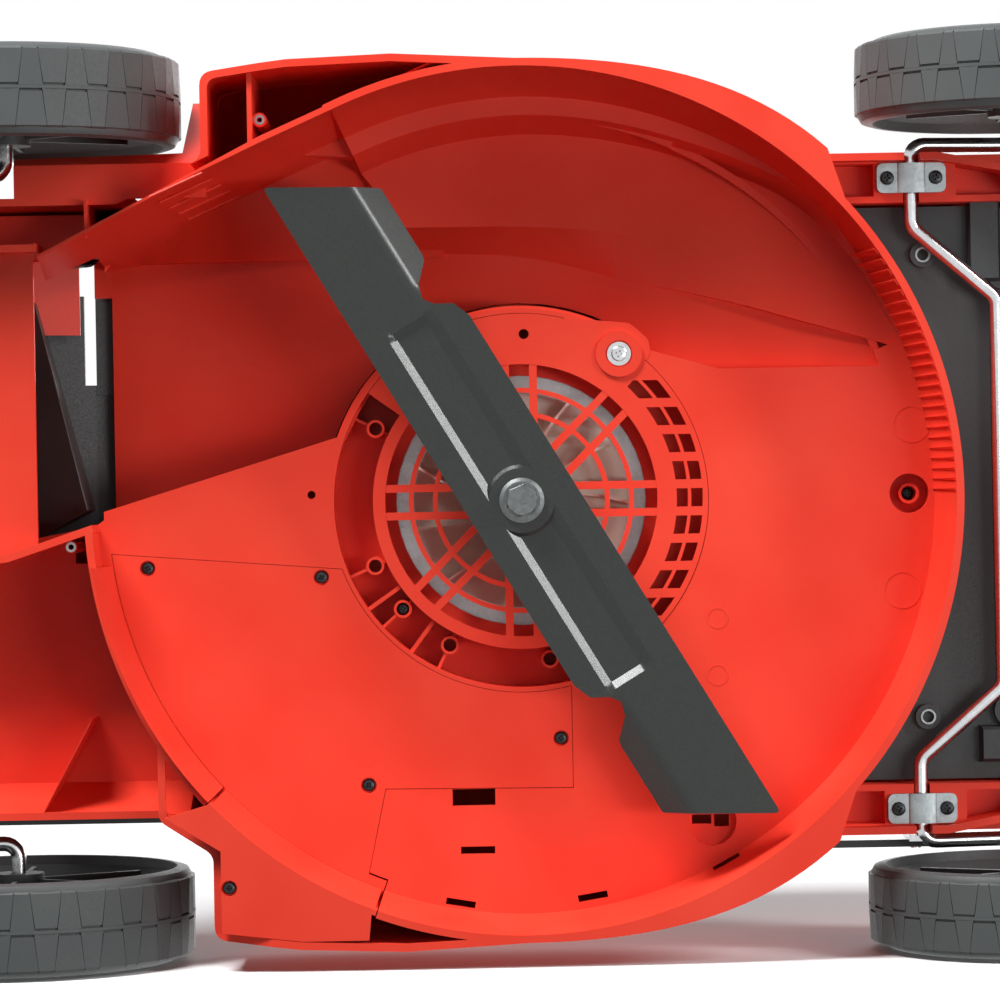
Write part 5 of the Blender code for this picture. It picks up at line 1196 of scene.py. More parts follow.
# %% Ribs on the skirt and marks on the low plate
SKIRT_RIBS, RIB_PITCH, RIB_BACK, RIB_TIP = 24, 0.0055, 0.0035, 0.0004
marks = []
for i in range(SKIRT_RIBS):
    x = -0.1290 + RIB_PITCH * i
    back = -math.sqrt(0.2296**2 - x**2)
    sections = []
    for radius, z in ((0.2216, PLATE_HEIGHT + 0.0005), (0.2276, 0.0280)):
        front = -math.sqrt(radius**2 - x**2)
        plan = [(x, back), (x + RIB_BACK, back), (x + RIB_TIP, front), (x - RIB_TIP, front)]
        sections.append([(px, py, z) for px, py in plan])
    marks.append(loft(sections))
EJECTOR_MARKS = [(-0.0373, -0.2110, 0.0097), (0.0520, -0.2045, 0.0097)]
EJECTOR_MARKS += [(0.0653, -0.1045, 0.0054), (0.0960, -0.1040, 0.0054)]
for x, y, radius in EJECTOR_MARKS:
    mark = ring(radius - 0.0004, radius + 0.0004, PLATE_HEIGHT - 0.0002, PLATE_HEIGHT + 0.001)
    marks.append(shift(mark, x, y))
ROUND_RECESS = (0.1750, -0.0998)
marks.append(shift(disc(0.0149, PLATE_HEIGHT + 0.0005, PLATE_HEIGHT + 0.010), *ROUND_RECESS))
SCREW_RECESS = (0.0, -0.2090)
marks.append(shift(disc(0.0130, PLATE_HEIGHT + 0.0005, PLATE_HEIGHT + 0.016), *SCREW_RECESS))
shell = fused(shell, *marks)
print("shell with ribs", len(shell.faces), "faces")

# %% [markdown]
# ## Openings
#
# The opening under the motor, the place of the cover plate, slots and screw holes are cut last, so that no
# rib or boss covers them. Both sides get the same slots for the axles and holes for the handle, but only the
# left side has the two windows through which the tie rod passes.

# %% Openings
COVER_SIDES = (math.radians(20.5), math.radians(47.0))


def cover_outline(gap):
    """Plan of the part of the cover plate in the low plate's level, made larger by the gap."""
    outer = deck_arc(SKIRT_INNER - 0.006, math.radians(21), math.radians(83.5))
    inner = arc(POCKET_RADIUS + 0.0025, math.radians(70), math.radians(-14), 48)
    steps = [(0.155, inner[-1][1]), (0.154, 0.076), (SKIRT_INNER - 0.0255, 0.0866)]
    return offset([inner[-1]] + steps + outer + inner[:-1], -gap)


MOTOR_OPENING = 0.108
plate_low, plate_top = PLATE_HEIGHT - 0.010, PLATE_HEIGHT + WALL + 0.001
start, end = COVER_SIDES[0] - math.radians(0.15), COVER_SIDES[1] + math.radians(0.15)
cutters = [
    disc(MOTOR_OPENING, POCKET_HEIGHT + WALL, DECK_TOP + CLEAR),
    disc(POCKET_RADIUS, plate_low, PLATE_HEIGHT + WALL + 0.0005, DECK_SIDES),
    shift(disc(0.0124 + GAP, plate_low, PLATE_HEIGHT + WALL + 0.0005), *LOBE),
    disc(GRILLE_RADIUS - 0.012, POCKET_HEIGHT - 0.01, POCKET_HEIGHT + WALL + 0.01),
    prism(cover_outline(GAP), plate_low, plate_top),
    sector(SKIRT_INNER - 0.012, SKIRT_OUTER + 0.001, start, end, RIM_HEIGHT - 0.01, plate_top),
    shift(disc(0.0129, PLATE_HEIGHT - 0.002, PLATE_HEIGHT + 0.006), *ROUND_RECESS),
    shift(disc(0.0106, PLATE_HEIGHT - 0.002, PLATE_HEIGHT + 0.013), *SCREW_RECESS),
    shift(disc(0.0012, 0.030, 0.060, 20), *CORNER_BOSS),
    box((0.1715, -0.0995, PLATE_HEIGHT), (0.1765, -0.0890, PLATE_HEIGHT + 0.02)),
    box((0.1715, -0.1090, PLATE_HEIGHT), (0.1780, -0.1010, PLATE_HEIGHT + 0.02)),
    box((0.1550, 0.0170, plate_low), (0.1640, 0.0400, plate_top)),
    box((0.1860, 0.0176, plate_low), (0.1900, 0.0360, plate_top)),
    shift(disc(0.0022, plate_low, plate_top, 20), -0.005, 0.1130),
]
for x, y, turn in ((0.2160, 0.0365, 0.17), (0.2137, -0.0346, -0.16), (0.1970, -0.1070, -0.50)):
    notch = box((-0.0015, -0.0080, plate_low), (0.0022, 0.0080, plate_top))
    cutters.append(shift(spun(notch, turn), x, y))
half = AXLE_RADIUS + GAP
for near, y, z in ((NOSE_HALF - 0.028, FRONT_PIVOT_Y, FRONT_PIVOT_Z), (0.0, REAR_PIVOT_Y, REAR_PIVOT_Z)):
    cutters += both(box((near, y - half, RIM_HEIGHT), (SKIRT_OUTER + CLEAR, y + half, z + half)))
cutters += both(along_handle(disc(TUBE_RADIUS + GAP, 0.004 - TUBE_DEPTH, 0.05), LOWER_X))
FRONT_CRANK_X, REAR_CRANK_X = 0.187, 0.181
TIE_REAR_X = REAR_HALF + 0.0045
TIE_FRONT_X = FRONT_CRANK_X + 0.0035
tie_cross = -math.sqrt(SKIRT_OUTER**2 - TIE_FRONT_X**2)
for x, front, back in (
    (TIE_REAR_X, SHOULDER_BACK - 0.010, SHOULDER_BACK + 0.040),
    (TIE_FRONT_X, tie_cross - 0.032, tie_cross + 0.018),
):
    cutters.append(box((x - 0.004, front, PLATE_HEIGHT + 0.012), (x + 0.005, back, PLATE_HEIGHT + 0.052)))
cutters.append(across(disc(0.0025 + GAP, -FLAP_HALF - 0.03, FLAP_HALF + 0.03, 20), 0, *FLAP_PIN))
shell = less(shell, *cutters)
screw_seat = shift(ring(0.0040, 0.0056, PLATE_HEIGHT + 0.003, PLATE_HEIGHT + 0.0135), *SCREW_RECESS)
shell = fused(shell, screw_seat)
finished("deck_shell", shell, RED_ABS, "deck", ["deck_housing"], sharp=22)

# %% [markdown]
# ## Cover plate and cooling grille
#
# Two more red mouldings close the underside: a plate with a corner of the rim, held by five dark screws, and
# the grille under the fan. The grille's ring, its bars and its platform are one moulding. Its bars run in
# pairs beside eight radii, which gives the square windows where two rings cross them.

# %% Cover plate
def cover_corner():
    """The flat corner of the rim in front of the rear wheel."""
    start, end = COVER_SIDES
    edge = offset(skirt_outline(), WALL + GAP)
    low_y = SKIRT_OUTER * math.sin(start)
    inner = deck_arc(SKIRT_OUTER - 0.002, end, start + 0.01)
    far = [point for point in edge if point[0] > SKIRT_OUTER * math.cos(end) and point[1] > low_y + 0.01]
    return inner + [(far[0][0], low_y + 0.003)] + far


start, end = COVER_SIDES
cover_outer, cover_top = SKIRT_INNER + 0.003, PLATE_HEIGHT + COVER_THICKNESS
plate = fused(
    prism(cover_outline(0), PLATE_HEIGHT - 0.0002, cover_top),
    sector(SKIRT_INNER - 0.011, cover_outer, start, end, PLATE_HEIGHT, cover_top),
    sector(SKIRT_INNER, cover_outer, start, end, RIM_HEIGHT, cover_top),
    prism(cover_corner(), RIM_HEIGHT, RIM_HEIGHT + COVER_THICKNESS),
)
LEAN_MARGIN, LEAN_PARTS = 0.3, 26
sections = []
for i in range(LEAN_PARTS + 1):
    degrees = math.degrees(start) + LEAN_MARGIN
    degrees += (math.degrees(end - start) - 2 * LEAN_MARGIN) * i / LEAN_PARTS
    sections.append(lean_section(math.radians(degrees), 0.2291, LEAN_INNER, 0.2296, RIM_HEIGHT + 0.001))
plate = fused(plate, loft(sections))
COVER_SCREWS = [(0.0330, 0.2020), (0.0395, 0.1085), (0.1285, -0.0190), (0.1520, 0.0850), (0.2010, 0.1575)]
for x, y in COVER_SCREWS:
    low = RIM_HEIGHT if y > 0.15 and x > 0.15 else PLATE_HEIGHT
    plate = less(plate, shift(disc(0.0042, low - 0.002, low + 0.0022), x, y))
finished("cover_plate", plate, RED_ABS, "deck", ["deck_cover_plate"], edge=0.0005)

# %% Grille
HUB_RING = 0.026
BAR_OFFSET, BAR_HALF = 0.00745, 0.0021
WINDOW_PITCH, WINDOW_HALF = 0.01466, 0.0049
grille_top = PLATE_HEIGHT + 0.004
grille_low = PLATE_HEIGHT - 0.0003
apron = (math.radians(126), math.radians(340))
parts = [
    ring(GRILLE_RADIUS - 0.0066, GRILLE_RADIUS, grille_low, grille_top, 128),
    ring(GRILLE_RADIUS - 0.003, GRILLE_RADIUS, PLATE_HEIGHT + 0.001, POCKET_HEIGHT - GAP, 128),
    ring(0.022, HUB_RING, grille_low, grille_top, 64),
    sector(GRILLE_RADIUS - 0.002, POCKET_RADIUS - GAP, *apron, grille_low, grille_top),
]
lobe_outline = [(-0.0700, -0.0300), (-0.0700, -0.0600), (-0.0760, -0.0712), (-0.0855, -0.0700)]
lobe_outline += [(-0.0945, -0.0600), (-0.0968, -0.0360), (-0.0985, -0.0180)]
parts.append(prism(softened(lobe_outline[::-1], 0.006, least=0.2), grille_low, grille_top))
parts.append(shift(disc(0.0124, PLATE_HEIGHT - 0.0018, grille_top, 64), *LOBE))
for radius in (0.0464, 0.0594):
    parts.append(ring(radius - 0.0013, radius + 0.0013, grille_low + 0.0002, grille_top, 128))
for i in range(8):
    for middle in (-BAR_OFFSET, BAR_OFFSET):
        near = math.sqrt(HUB_RING**2 - middle**2) - 0.003
        low = (near, middle - BAR_HALF, grille_low + 0.0002)
        bar = box(low, (GRILLE_RADIUS - 0.004, middle + BAR_HALF, grille_top))
        parts.append(spun(bar, i * math.pi / 4))
grille = fused(*parts)
for inner, outer in ((0.0838, 0.0898), (0.0916, 0.0978)):
    turns = (math.radians(224), math.radians(316))
    windows = sector(inner, outer, *turns, PLATE_HEIGHT - 0.01, grille_top + 0.01)
    slabs = []
    for k in range(-4, 5):
        x = WINDOW_PITCH * k
        low = (x - WINDOW_HALF, -0.12, PLATE_HEIGHT - 0.02)
        slabs.append(box(low, (x + WINDOW_HALF, -0.03, grille_top + 0.02)))
    grille = less(grille, combine(windows, beside(*slabs), "INTERSECT"))
grille = less(grille, shift(disc(0.0027, PLATE_HEIGHT - 0.01, grille_top + 0.01), -0.0896, -0.0029))
grille = less(grille, shift(disc(0.0072, PLATE_HEIGHT - 0.01, PLATE_HEIGHT - 0.0008), *LOBE))
finished("grille", grille, RED_ABS, "deck", ["cooling_grille"], edge=0.0004)

# %% [markdown]
# ## Cutting blade
#
# The blade is 3.5 mm sheet steel, cut to its outline, pressed to a panel along its middle and bent up at
# both back corners so that it lifts the grass. Pressing moves both faces of the sheet alike. So the flat
# blank is sliced along the lines of the bends, and its points are then lifted by a height function.

# %% Blade
BLADE_LOW, BLADE_THICKNESS = 0.035, 0.0035
BLADE_TURN = math.radians(-31)
BLANK = [
    (-0.2125, 0.0285),
    (-0.1800, -0.0245),
    (-0.1385, -0.0245),
    (-0.1350, -0.0235),
    (-0.1257, -0.0143),
    (-0.1180, -0.0119),
    (-0.1125, -0.0159),
    (-0.1075, -0.0246),
    (-0.0975, -0.0285),
]


PANEL_HALF, PANEL_SIDE, PANEL_LIFT = 0.1105, 0.0150, 0.0026
WING_START, WING_BEND, WING_RADIUS, WING_SLOPE = 0.0078, 0.0058, 0.0078, 0.78


def ramp(value, low, high):
    """0 below low, 1 above high and a straight line between them."""
    return min(max((value - low) / (high - low), 0.0), 1.0)


def lift(x, y):
    """How far the press lifts the blank at a point. The wings are alike, turned by half a circle."""
    panel = min(
        ramp(abs(x), 0.0020, 0.0021),
        ramp(PANEL_HALF - abs(x), 0.0, 0.0040),
        ramp(PANEL_SIDE - y, 0.0, 0.0042),
        ramp(y + 0.0138, 0.0, 0.0072),
    )
    if x > 0:
        x, y = -x, -y
    past = -y - WING_START
    wing = 0.0
    if past > 0:
        wing = min(past, WING_BEND) ** 2 / (2 * WING_RADIUS) + max(past - WING_BEND, 0.0) * WING_SLOPE
    return PANEL_LIFT * panel + wing * ramp(-x, 0.1130, 0.1270)


blank_outline = softened((BLANK + [(-x, -y) for x, y in BLANK])[::-1], 0.002, 4, 0.5)
blank = prism(blank_outline, BLADE_LOW, BLADE_LOW + BLADE_THICKNESS)
folds_y = [PANEL_SIDE, 0.0108, 0.0138, 0.0066]
folds_y += [WING_START + WING_BEND * i / 6 for i in range(7)] + [0.018, 0.0215]
folds_x = [0.0020, 0.0021, 0.1065, PANEL_HALF, 0.1130, 0.1165, 0.1200, 0.1235, 0.1270]
for axis, sides, folds in ((1, (1, -1), folds_y), (0, (-1, 1), folds_x)):
    for side in sides:
        for fold in folds:
            place, normal = [0, 0, 0], [0, 0, 0]
            place[axis], normal[axis] = side * fold, 1
            geometry = blank.verts[:] + blank.edges[:] + blank.faces[:]
            bmesh.ops.bisect_plane(blank, geom=geometry, plane_co=place, plane_no=normal, dist=1e-7)
for vertex in blank.verts:
    vertex.co.z += lift(vertex.co.x, vertex.co.y)
bmesh.ops.triangulate(blank, faces=[face for face in blank.faces if len(face.verts) > 4])
seat_profile = [(0, 0), (0.0172, 0), (0.0190, 0.0018), (0.0190, 0.0052), (0, 0.0052)]
seat = shift(turned(seat_profile), z=BLADE_LOW)
blade = less(fused(closed(blank), seat), disc(0.0053, BLADE_LOW - 0.01, BLADE_LOW + 0.02))
blade = spun(blade, BLADE_TURN)
finished(
    "blade", blade, BLADE_PAINT, "blade_rotor", ["cutting_blade"], sharp=30, edge=0.0005
)


# %% Bolt with washer
def hex_head(across_flats, low, high):
    """A six-sided head whose corners are turned off at its low end."""
    corner = across_flats / math.sqrt(3)
    head = disc(corner, low, high, 6)
    inner, outer = corner * 0.90, corner * 1.02
    profile = [(0, low - 0.001), (inner, low - 0.001), (inner, low), (outer, low + 0.0018)]
    cone = turned(profile + [(outer, high + 0.01), (0, high + 0.01)])
    return combine(head, cone, "INTERSECT")


bolt_low = BLADE_LOW - 0.0098
washer = turned([(0, 0.0072), (0.0100, 0.0072), (0.0120, 0.0082), (0.0120, 0.0098), (0, 0.0098)])
head = spun(hex_head(0.0150, bolt_low, bolt_low + 0.0080), 0.15)
bolt = fused(head, shift(washer, z=bolt_low), disc(0.005, BLADE_LOW - 0.001, 0.0735))
finished("bolt", bolt, BOLT_ZINC, "blade_rotor", ["blade_bolt"], sharp=20, edge=0.0003)

# %% [markdown]
# ## Copies at places
#
# Lugs of the tread and screws are equal small parts at many places. One Geometry Nodes tree sets a copy on
# each point of a mesh and turns it by that point's own angles. The result is made real, because the library
# keeps plain meshes.

# %% Node tree that sets copies on points
copies_tree = bpy.data.node_groups.new("copies_at_places", "GeometryNodeTree")
sockets = {}
for name, kind in (("Places", "Geometry"), ("Copy", "Object"), ("Finish", "Material")):
    socket = copies_tree.interface.new_socket(name, in_out="INPUT", socket_type="NodeSocket" + kind)
    sockets[name] = socket.identifier
copies_tree.interface.new_socket("Copies", in_out="OUTPUT", socket_type="NodeSocketGeometry")
given = add_node(copies_tree, "NodeGroupInput")
turn = add_node(copies_tree, "GeometryNodeInputNamedAttribute", {"data_type": "FLOAT_VECTOR"}, Name="turn")
source = add_node(copies_tree, "GeometryNodeObjectInfo", Object=given.outputs["Copy"])
placed = add_node(
    copies_tree,
    "GeometryNodeInstanceOnPoints",
    Points=given.outputs["Places"],
    Instance=source.outputs["Geometry"],
    Rotation=turn.outputs["Attribute"],
)
real = add_node(copies_tree, "GeometryNodeRealizeInstances", Geometry=placed.outputs["Instances"])
painted = add_node(
    copies_tree,
    "GeometryNodeSetMaterial",
    Geometry=real.outputs["Geometry"],
    Material=given.outputs["Finish"],
)
add_node(copies_tree, "NodeGroupOutput", Copies=painted.outputs["Geometry"])
print(copies_tree.name, "has", len(copies_tree.nodes), "nodes")


def copies(mesh, places, finish):
    """The mesh copied to each place, which is a point with its turn as Euler angles."""
    data = bpy.data.meshes.new("copy")
    mesh.to_mesh(data)
    mesh.free()
    copy = bpy.data.objects.new("copy", data)
    points = bpy.data.meshes.new("places")
    points.from_pydata([point for point, _ in places], [], [])
    turns = points.attributes.new("turn", "FLOAT_VECTOR", "POINT")
    turns.data.foreach_set("vector", [value for _, euler in places for value in euler])
    holder = bpy.data.objects.new("places", points)
    for thing in (copy, holder):
        bpy.context.scene.collection.objects.link(thing)
    step = holder.modifiers.new("copies", "NODES")
    step.node_group = copies_tree
    step[sockets["Copy"]] = copy
    step[sockets["Finish"]] = finish
    graph = bpy.context.evaluated_depsgraph_get()
    made = bpy.data.meshes.new_from_object(holder.evaluated_get(graph))
    result = bmesh.new()
    result.from_mesh(made)
    for mesh_data in (made, data, points):
        bpy.data.meshes.remove(mesh_data)
    return result


# %% [markdown]
# ## Wheels
#
# A wheel is one hard plastic moulding, open on its inner side, with a cap pressed on the hub. The tread has
# two rows of wedge-shaped lugs, the second row half a step behind the first, with narrower blocks between
# them and a thin band along the middle. The wheel is a profile turned round its axle. The lugs stand 1.3 mm
# proud of it and don't go beyond the radius that rolls on the ground.

# %% The wheel without its lugs
WHEEL_OUTER = 0.245
CAP_RADIUS = 0.030
LUG_HEIGHT = 0.0013
LUGS_IN_A_ROW = 24
LUG_WIDE, LUG_NARROW, LUG_GROOVE = 0.0078, 0.0054, 0.0010
WHEELS = {"front": (-0.269, 0.085, 0.045), "rear": (0.276, 0.095, 0.050)}
SIDES = (("left", 1), ("right", -1))


def wheel_body(radius, width):
    """The wheel without its lugs, from the inner side at z = 0 to the outer side."""
    tread = radius - LUG_HEIGHT
    recess, bore = CAP_RADIUS + GAP, AXLE_RADIUS + GAP
    profile = [
        (tread - 0.0055, 0.0),
        (tread - 0.0020, 0.0010),
        (tread, 0.0045),
        (tread, width / 2 - 0.0011),
        (radius, width / 2 - 0.0008),
        (radius, width / 2 + 0.0008),
        (tread, width / 2 + 0.0011),
        (tread, width - 0.0120),
        (tread - 0.0012, width - 0.0070),
        (tread - 0.0045, width - 0.0028),
        (tread - 0.0095, width - 0.0004),
        (tread - 0.0150, width),
        (tread - 0.0185, width - 0.0030),
        (tread - 0.0200, width - 0.0080),
        (recess + 0.0060, width - 0.0080),
        (recess + 0.0030, width - 0.0050),
        (recess + 0.0010, width - 0.0010),
        (recess, width - 0.0010),
        (recess, width - 0.0060),
        (bore, width - 0.0060),
        (bore, 0.0020),
        (0.0135, 0.0020),
        (0.0145, width - 0.0120),
        (radius - 0.0250, width - 0.0120),
        (radius - 0.0240, 0.0140),
        (radius - 0.0110, 0.0050),
        (radius - 0.0095, 0.0),
    ]
    ribs = []
    for i in range(6):
        rib = box((0.0140, -0.0012, 0.0050), (radius - 0.0230, 0.0012, width - 0.0110))
        ribs.append(spun(rib, math.pi * i / 3))
    return fused(turned(profile, 144), *ribs)


# %% Lugs of the tread
def tread_lugs(radius, width):
    """A lug of each row and the block beside it, each with its start in steps round the tread."""
    half, pitch = width / 2, 2 * math.pi * radius / LUGS_IN_A_ROW
    shapes = []
    for row, side in enumerate((-1, 1)):
        for wide, narrow, from_middle, start in (
            (LUG_WIDE, LUG_NARROW, 0.0022, 0.0),
            (pitch / 2 - LUG_WIDE - LUG_GROOVE, pitch / 2 - LUG_NARROW - LUG_GROOVE, 0.0009, 0.5),
        ):
            middle = half + side * from_middle
            loops = []
            # radius, growth of the outline, distance from the tread's edge, and drop of the edge
            for r, grow, back, drop in (
                (radius - LUG_HEIGHT - 0.0008, 0.0004, 0.0, 0.0),
                (radius - 0.0004, 0.0, 0.0014, 0.0006),
                (radius, -0.0004, 0.0014, 0.0006),
            ):
                far = half + side * (half - 0.0035) - side * back
                edge_r = r - (drop if side > 0 else 0.0)
                ends = ((-wide, far, edge_r), (wide, far, edge_r), (narrow, middle, r), (-narrow, middle, r))
                grown = [(y + math.copysign(grow, y), z, at) for y, z, at in ends]
                loops.append([(math.sqrt(at**2 - y**2), y, z) for y, z, at in grown])
            shapes.append((loft(loops), row / 2 + start))
    return shapes


def wheel_with_tread(radius, width):
    """The wheel and its lugs, kept as closed shells in one mesh."""
    step = 2 * math.pi / LUGS_IN_A_ROW
    parts = [wheel_body(radius, width)]
    for lug, start in tread_lugs(radius, width):
        places = [((0, 0, 0), (0, 0, step * (i + start))) for i in range(LUGS_IN_A_ROW)]
        parts.append(copies(lug, places, WHEEL_PP))
    return beside(*parts)


# %% Hub caps, and all the wheels
def hub_cap(width):
    """A round cap with a shallow dish, pressed into the wheel's outer side."""
    low = width - 0.006 + GAP
    profile = [(0, low), (CAP_RADIUS, low), (CAP_RADIUS, width - 0.0025)]
    profile += [(CAP_RADIUS - 0.0010, width - 0.0012), (CAP_RADIUS - 0.0030, width - 0.0002)]
    profile += [(0.0200, width - 0.0002), (0.0185, width - 0.0012), (0.0110, width - 0.0012)]
    profile += [(0.0095, width), (0, width)]
    return turned(profile, 72)


for end, (y, radius, width) in WHEELS.items():
    for name, side in SIDES:
        body = end + "_" + name + "_wheel"
        for piece, mesh, finish, slot, node, edge in (
            ("wheel", wheel_with_tread(radius, width), WHEEL_PP, "wheel_plastic", "wheel", 0.0),
            ("hub_cap", hub_cap(width), RED_ABS, "red_plastic", "hub_cap", 0.0003),
        ):
            mesh = aimed(mesh, (1, 0, 0), (WHEEL_OUTER - width, y, radius))
            mesh = mesh if side > 0 else mirrored(mesh)
            nodes = [end + "_" + node + "_" + name]
            finished(end + "_" + name + "_" + piece, mesh, finish, body, nodes, sharp=30, edge=edge)

# %% [markdown]
# ## Axles, clamps and screws
#
# The axles are bright zinc-plated rod, bent to a crank at each end. Strips with a saddle hold them to the
# rails, with two cross-headed screws each. A rod along a rounded path gives the bends their even thickness.


# %% Screws with a cross recess
def cross_screw(head, depth, washer=0.0):
    """A pan head that looks down, drawn below z = 0, with a cross cut into it."""
    profile = [(0, -depth), (head * 0.55, -depth), (head * 0.86, -depth * 0.78), (head, -depth * 0.35)]
    screw = turned(profile + [(head, 0.0004), (0, 0.0004)], 32)
    arm, half = head * 0.62, head * 0.13
    levels = [(oblong(arm, half), -depth - 0.001), (oblong(arm / 3, half), -depth * 0.25)]
    for turn in (0.3, 0.3 + math.pi / 2):
        slot = loft([[(x, y, z) for x, y in corners] for corners, z in levels])
        screw = less(screw, spun(slot, turn))
    if washer:
        screw = fused(screw, disc(washer, -0.0008, 0.0005))
    return screw


def screws(name, head, depth, finish, places, washer=0.0):
    """Equal screws on the deck, each turned a little further than the one before."""
    turned_places = [(place, (0, 0, 0.7 * i)) for i, place in enumerate(places)]
    finished(name, copies(cross_screw(head, depth, washer), turned_places, finish), finish, "deck", sharp=30)


STRIP_THICKNESS = 0.003
CLAMP_HOLE_Y = 0.013
CLAMPS = {
    "front": (CLAMP_X, FRONT_PIVOT_Y, FRONT_PIVOT_Z - AXLE_RADIUS - GAP),
    "rear": (REAR_CLAMP_X, REAR_PIVOT_Y, REAR_PIVOT_Z - AXLE_RADIUS - GAP),
}
clamp_places = [
    (side * x, y + along, top - STRIP_THICKNESS)
    for side in (-1, 1)
    for along in (-CLAMP_HOLE_Y, CLAMP_HOLE_Y)
    for x, y, top in CLAMPS.values()
]
screws("clamp_screws", 0.0037, 0.0020, BLACK_OXIDE, clamp_places)
cover_places = [(x, y, (RIM_HEIGHT if x > 0.19 else PLATE_HEIGHT) + 0.0020) for x, y in COVER_SCREWS]
cover_places += [(*SCREW_RECESS, PLATE_HEIGHT + 0.0120), (*POCKET_TUBES[2], PLATE_HEIGHT + 0.0090)]
cover_places += [(x, y, FRONT_COVER_HEIGHT - 0.004) for x, y in FRONT_POSTS]
screws("cover_screws", 0.0033, 0.0016, BLACK_OXIDE, cover_places)
screws("grille_screw", 0.0042, 0.0022, ZINC_ROD, [(*LOBE, PLATE_HEIGHT - 0.0008)], washer=0.0064)


# %% Clamps
def clamp(x, y, top):
    """A strip with rounded corners, two holes and a saddle over the rod."""
    outline = softened(oblong(0.008, 0.0185), 0.0040, 6)
    plate = prism(outline, top - STRIP_THICKNESS, top)
    saddle = []
    for i in range(13):
        turn = math.pi * i / 12
        saddle.append((0.0075 * math.cos(turn), top - 0.0029 - 0.0016 * math.sin(turn)))
    saddle += [(-0.0075, top - 0.0005), (0.0075, top - 0.0005)]
    plate = fused(plate, side_prism(saddle, -0.0080, 0.0080))
    for hole_y in (-CLAMP_HOLE_Y, CLAMP_HOLE_Y):
        plate = less(plate, shift(disc(0.0022, top - 0.01, top + 0.01, 24), 0, hole_y))
    return shift(plate, x, y)


for end, (x, y, top) in CLAMPS.items():
    for name, side in SIDES:
        node = end + "_axle_clamp_" + name
        strip = clamp(side * x, y, top)
        finished(end + "_clamp_" + name, strip, GALVANISED, "deck", [node], edge=0.0004)

# %% Rods of the axles
ARM_LENGTH = 0.035
LINK_PIN = 0.003
TIE_THICKNESS = 0.004


def crank_arm(x, pivot_y, pivot_z):
    """The short lever on an axle that the tie rod pins to."""
    half, top = 0.007, pivot_z + ARM_LENGTH
    profile = [(pivot_y - half, pivot_z - 0.002), (pivot_y + half, pivot_z - 0.002)]
    profile += arc(half, 0, math.pi, 10, (pivot_y, top))
    return side_prism(profile, x - 0.0015, x + 0.0015)


def axle(end, crank_x, pivot_y, pivot_z, middle, arm_x, pin_from, pin_to):
    """The rod with a crank at each end, from the middle points of one side, and the arm with its pin."""
    wheel_y, wheel_z, _ = WHEELS[end]
    half = [(WHEEL_OUTER - 0.0065, wheel_y, wheel_z), (crank_x, wheel_y, wheel_z)]
    half += [(crank_x, pivot_y, pivot_z), *middle]
    path = rounded_path(half + [(-x, y, z) for x, y, z in half[::-1]], AXLE_RADIUS + 0.0040, 6)
    pin = across(disc(LINK_PIN, 0, pin_to - pin_from, 24), pin_from, pivot_y, pivot_z + ARM_LENGTH)
    mesh = fused(rod(path, AXLE_RADIUS, 24), crank_arm(arm_x, pivot_y, pivot_z), pin)
    finished(end + "_axle", mesh, ZINC_ROD, end + "_axle", [end + "_axle_rod"], sharp=35)


front_middle = [
    (NOSE_HALF - 0.039, FRONT_PIVOT_Y, FRONT_PIVOT_Z),
    (NOSE_HALF - 0.078, FRONT_PIVOT_Y - 0.045, FRONT_PIVOT_Z),
]
front_arm_x = 0.1855
pin_end = TIE_FRONT_X + 0.003
axle("front", FRONT_CRANK_X, FRONT_PIVOT_Y, FRONT_PIVOT_Z, front_middle, front_arm_x, front_arm_x, pin_end)
tie_inner = TIE_REAR_X - TIE_THICKNESS / 2 - 0.0008
rear_arm_x = TIE_REAR_X + TIE_THICKNESS / 2 + 0.0025
axle("rear", REAR_CRANK_X, REAR_PIVOT_Y, REAR_PIVOT_Z, [], rear_arm_x, tie_inner, rear_arm_x)

# %% [markdown]
# ## Front cover
#
# A flat black cover closes the space between the front rails. It is held by two screws in raised bosses, and
# carries a raised box where the axle's return spring would sit. A plan outline pulled up is enough for the
# plate, and its edges are rounded afterwards.

# %% Front cover
half = NOSE_HALF - 0.026 - GAP - 0.001
inner = SKIRT_OUTER + 0.003
turn = math.asin(half / inner)
front = -NOSE_REACH + WALL + 0.012
outline = [(-half, front + 0.024), (-half + 0.020, front), (half - 0.020, front), (half, front + 0.024)]
outline += deck_arc(inner, -math.pi / 2 + turn, -math.pi / 2 - turn)
low = FRONT_COVER_HEIGHT
cover = prism(softened(outline, 0.006, 6), low, low + WALL)
for x, y in FRONT_POSTS:
    cover = fused(cover, shift(disc(0.0088, low - 0.006, low + 0.001, 48), x, y))
    cover = less(cover, shift(disc(0.0044, low - 0.010, low - 0.0030, 40), x, y))
# centre of a raised box, its width and its depth
RAISED = [(-0.1360, -0.2520, 0.046, 0.018), (0.1360, -0.2520, 0.020, 0.014), (0.0, -0.2700, 0.150, 0.004)]
for x, y, wide, deep in RAISED:
    loops = []
    for z, draw in ((low - 0.0085, 0.0022), (low - 0.0070, 0.0006), (low + 0.001, 0.0)):
        corners = oblong(wide / 2 - draw, deep / 2 - min(draw, 0.0016), x, y)
        loops.append([(px, py, z) for px, py in corners])
    cover = fused(cover, loft(loops))
# Pale galvanised rings go into two bosses of the cover and two bosses of the deck.
pale_rings = []
for x, y in ((-0.1285, -0.2190), (0.1208, -0.2175)):
    cover = fused(cover, shift(disc(0.0068, low - 0.0045, low + 0.001, 48), x, y))
    cover = less(cover, shift(disc(0.0040, low - 0.0060, low - 0.0010, 40), x, y))
    pale_rings.append(shift(ring(0.0031, 0.0041, low - 0.0052, low - 0.0012, 40), x, y))
for x, y, z in ((*CORNER_BOSS, 0.0398), (*POST, 0.0558)):
    pale_rings.append(shift(ring(0.0015, 0.0027, z, z + 0.0030, 32), x, y))
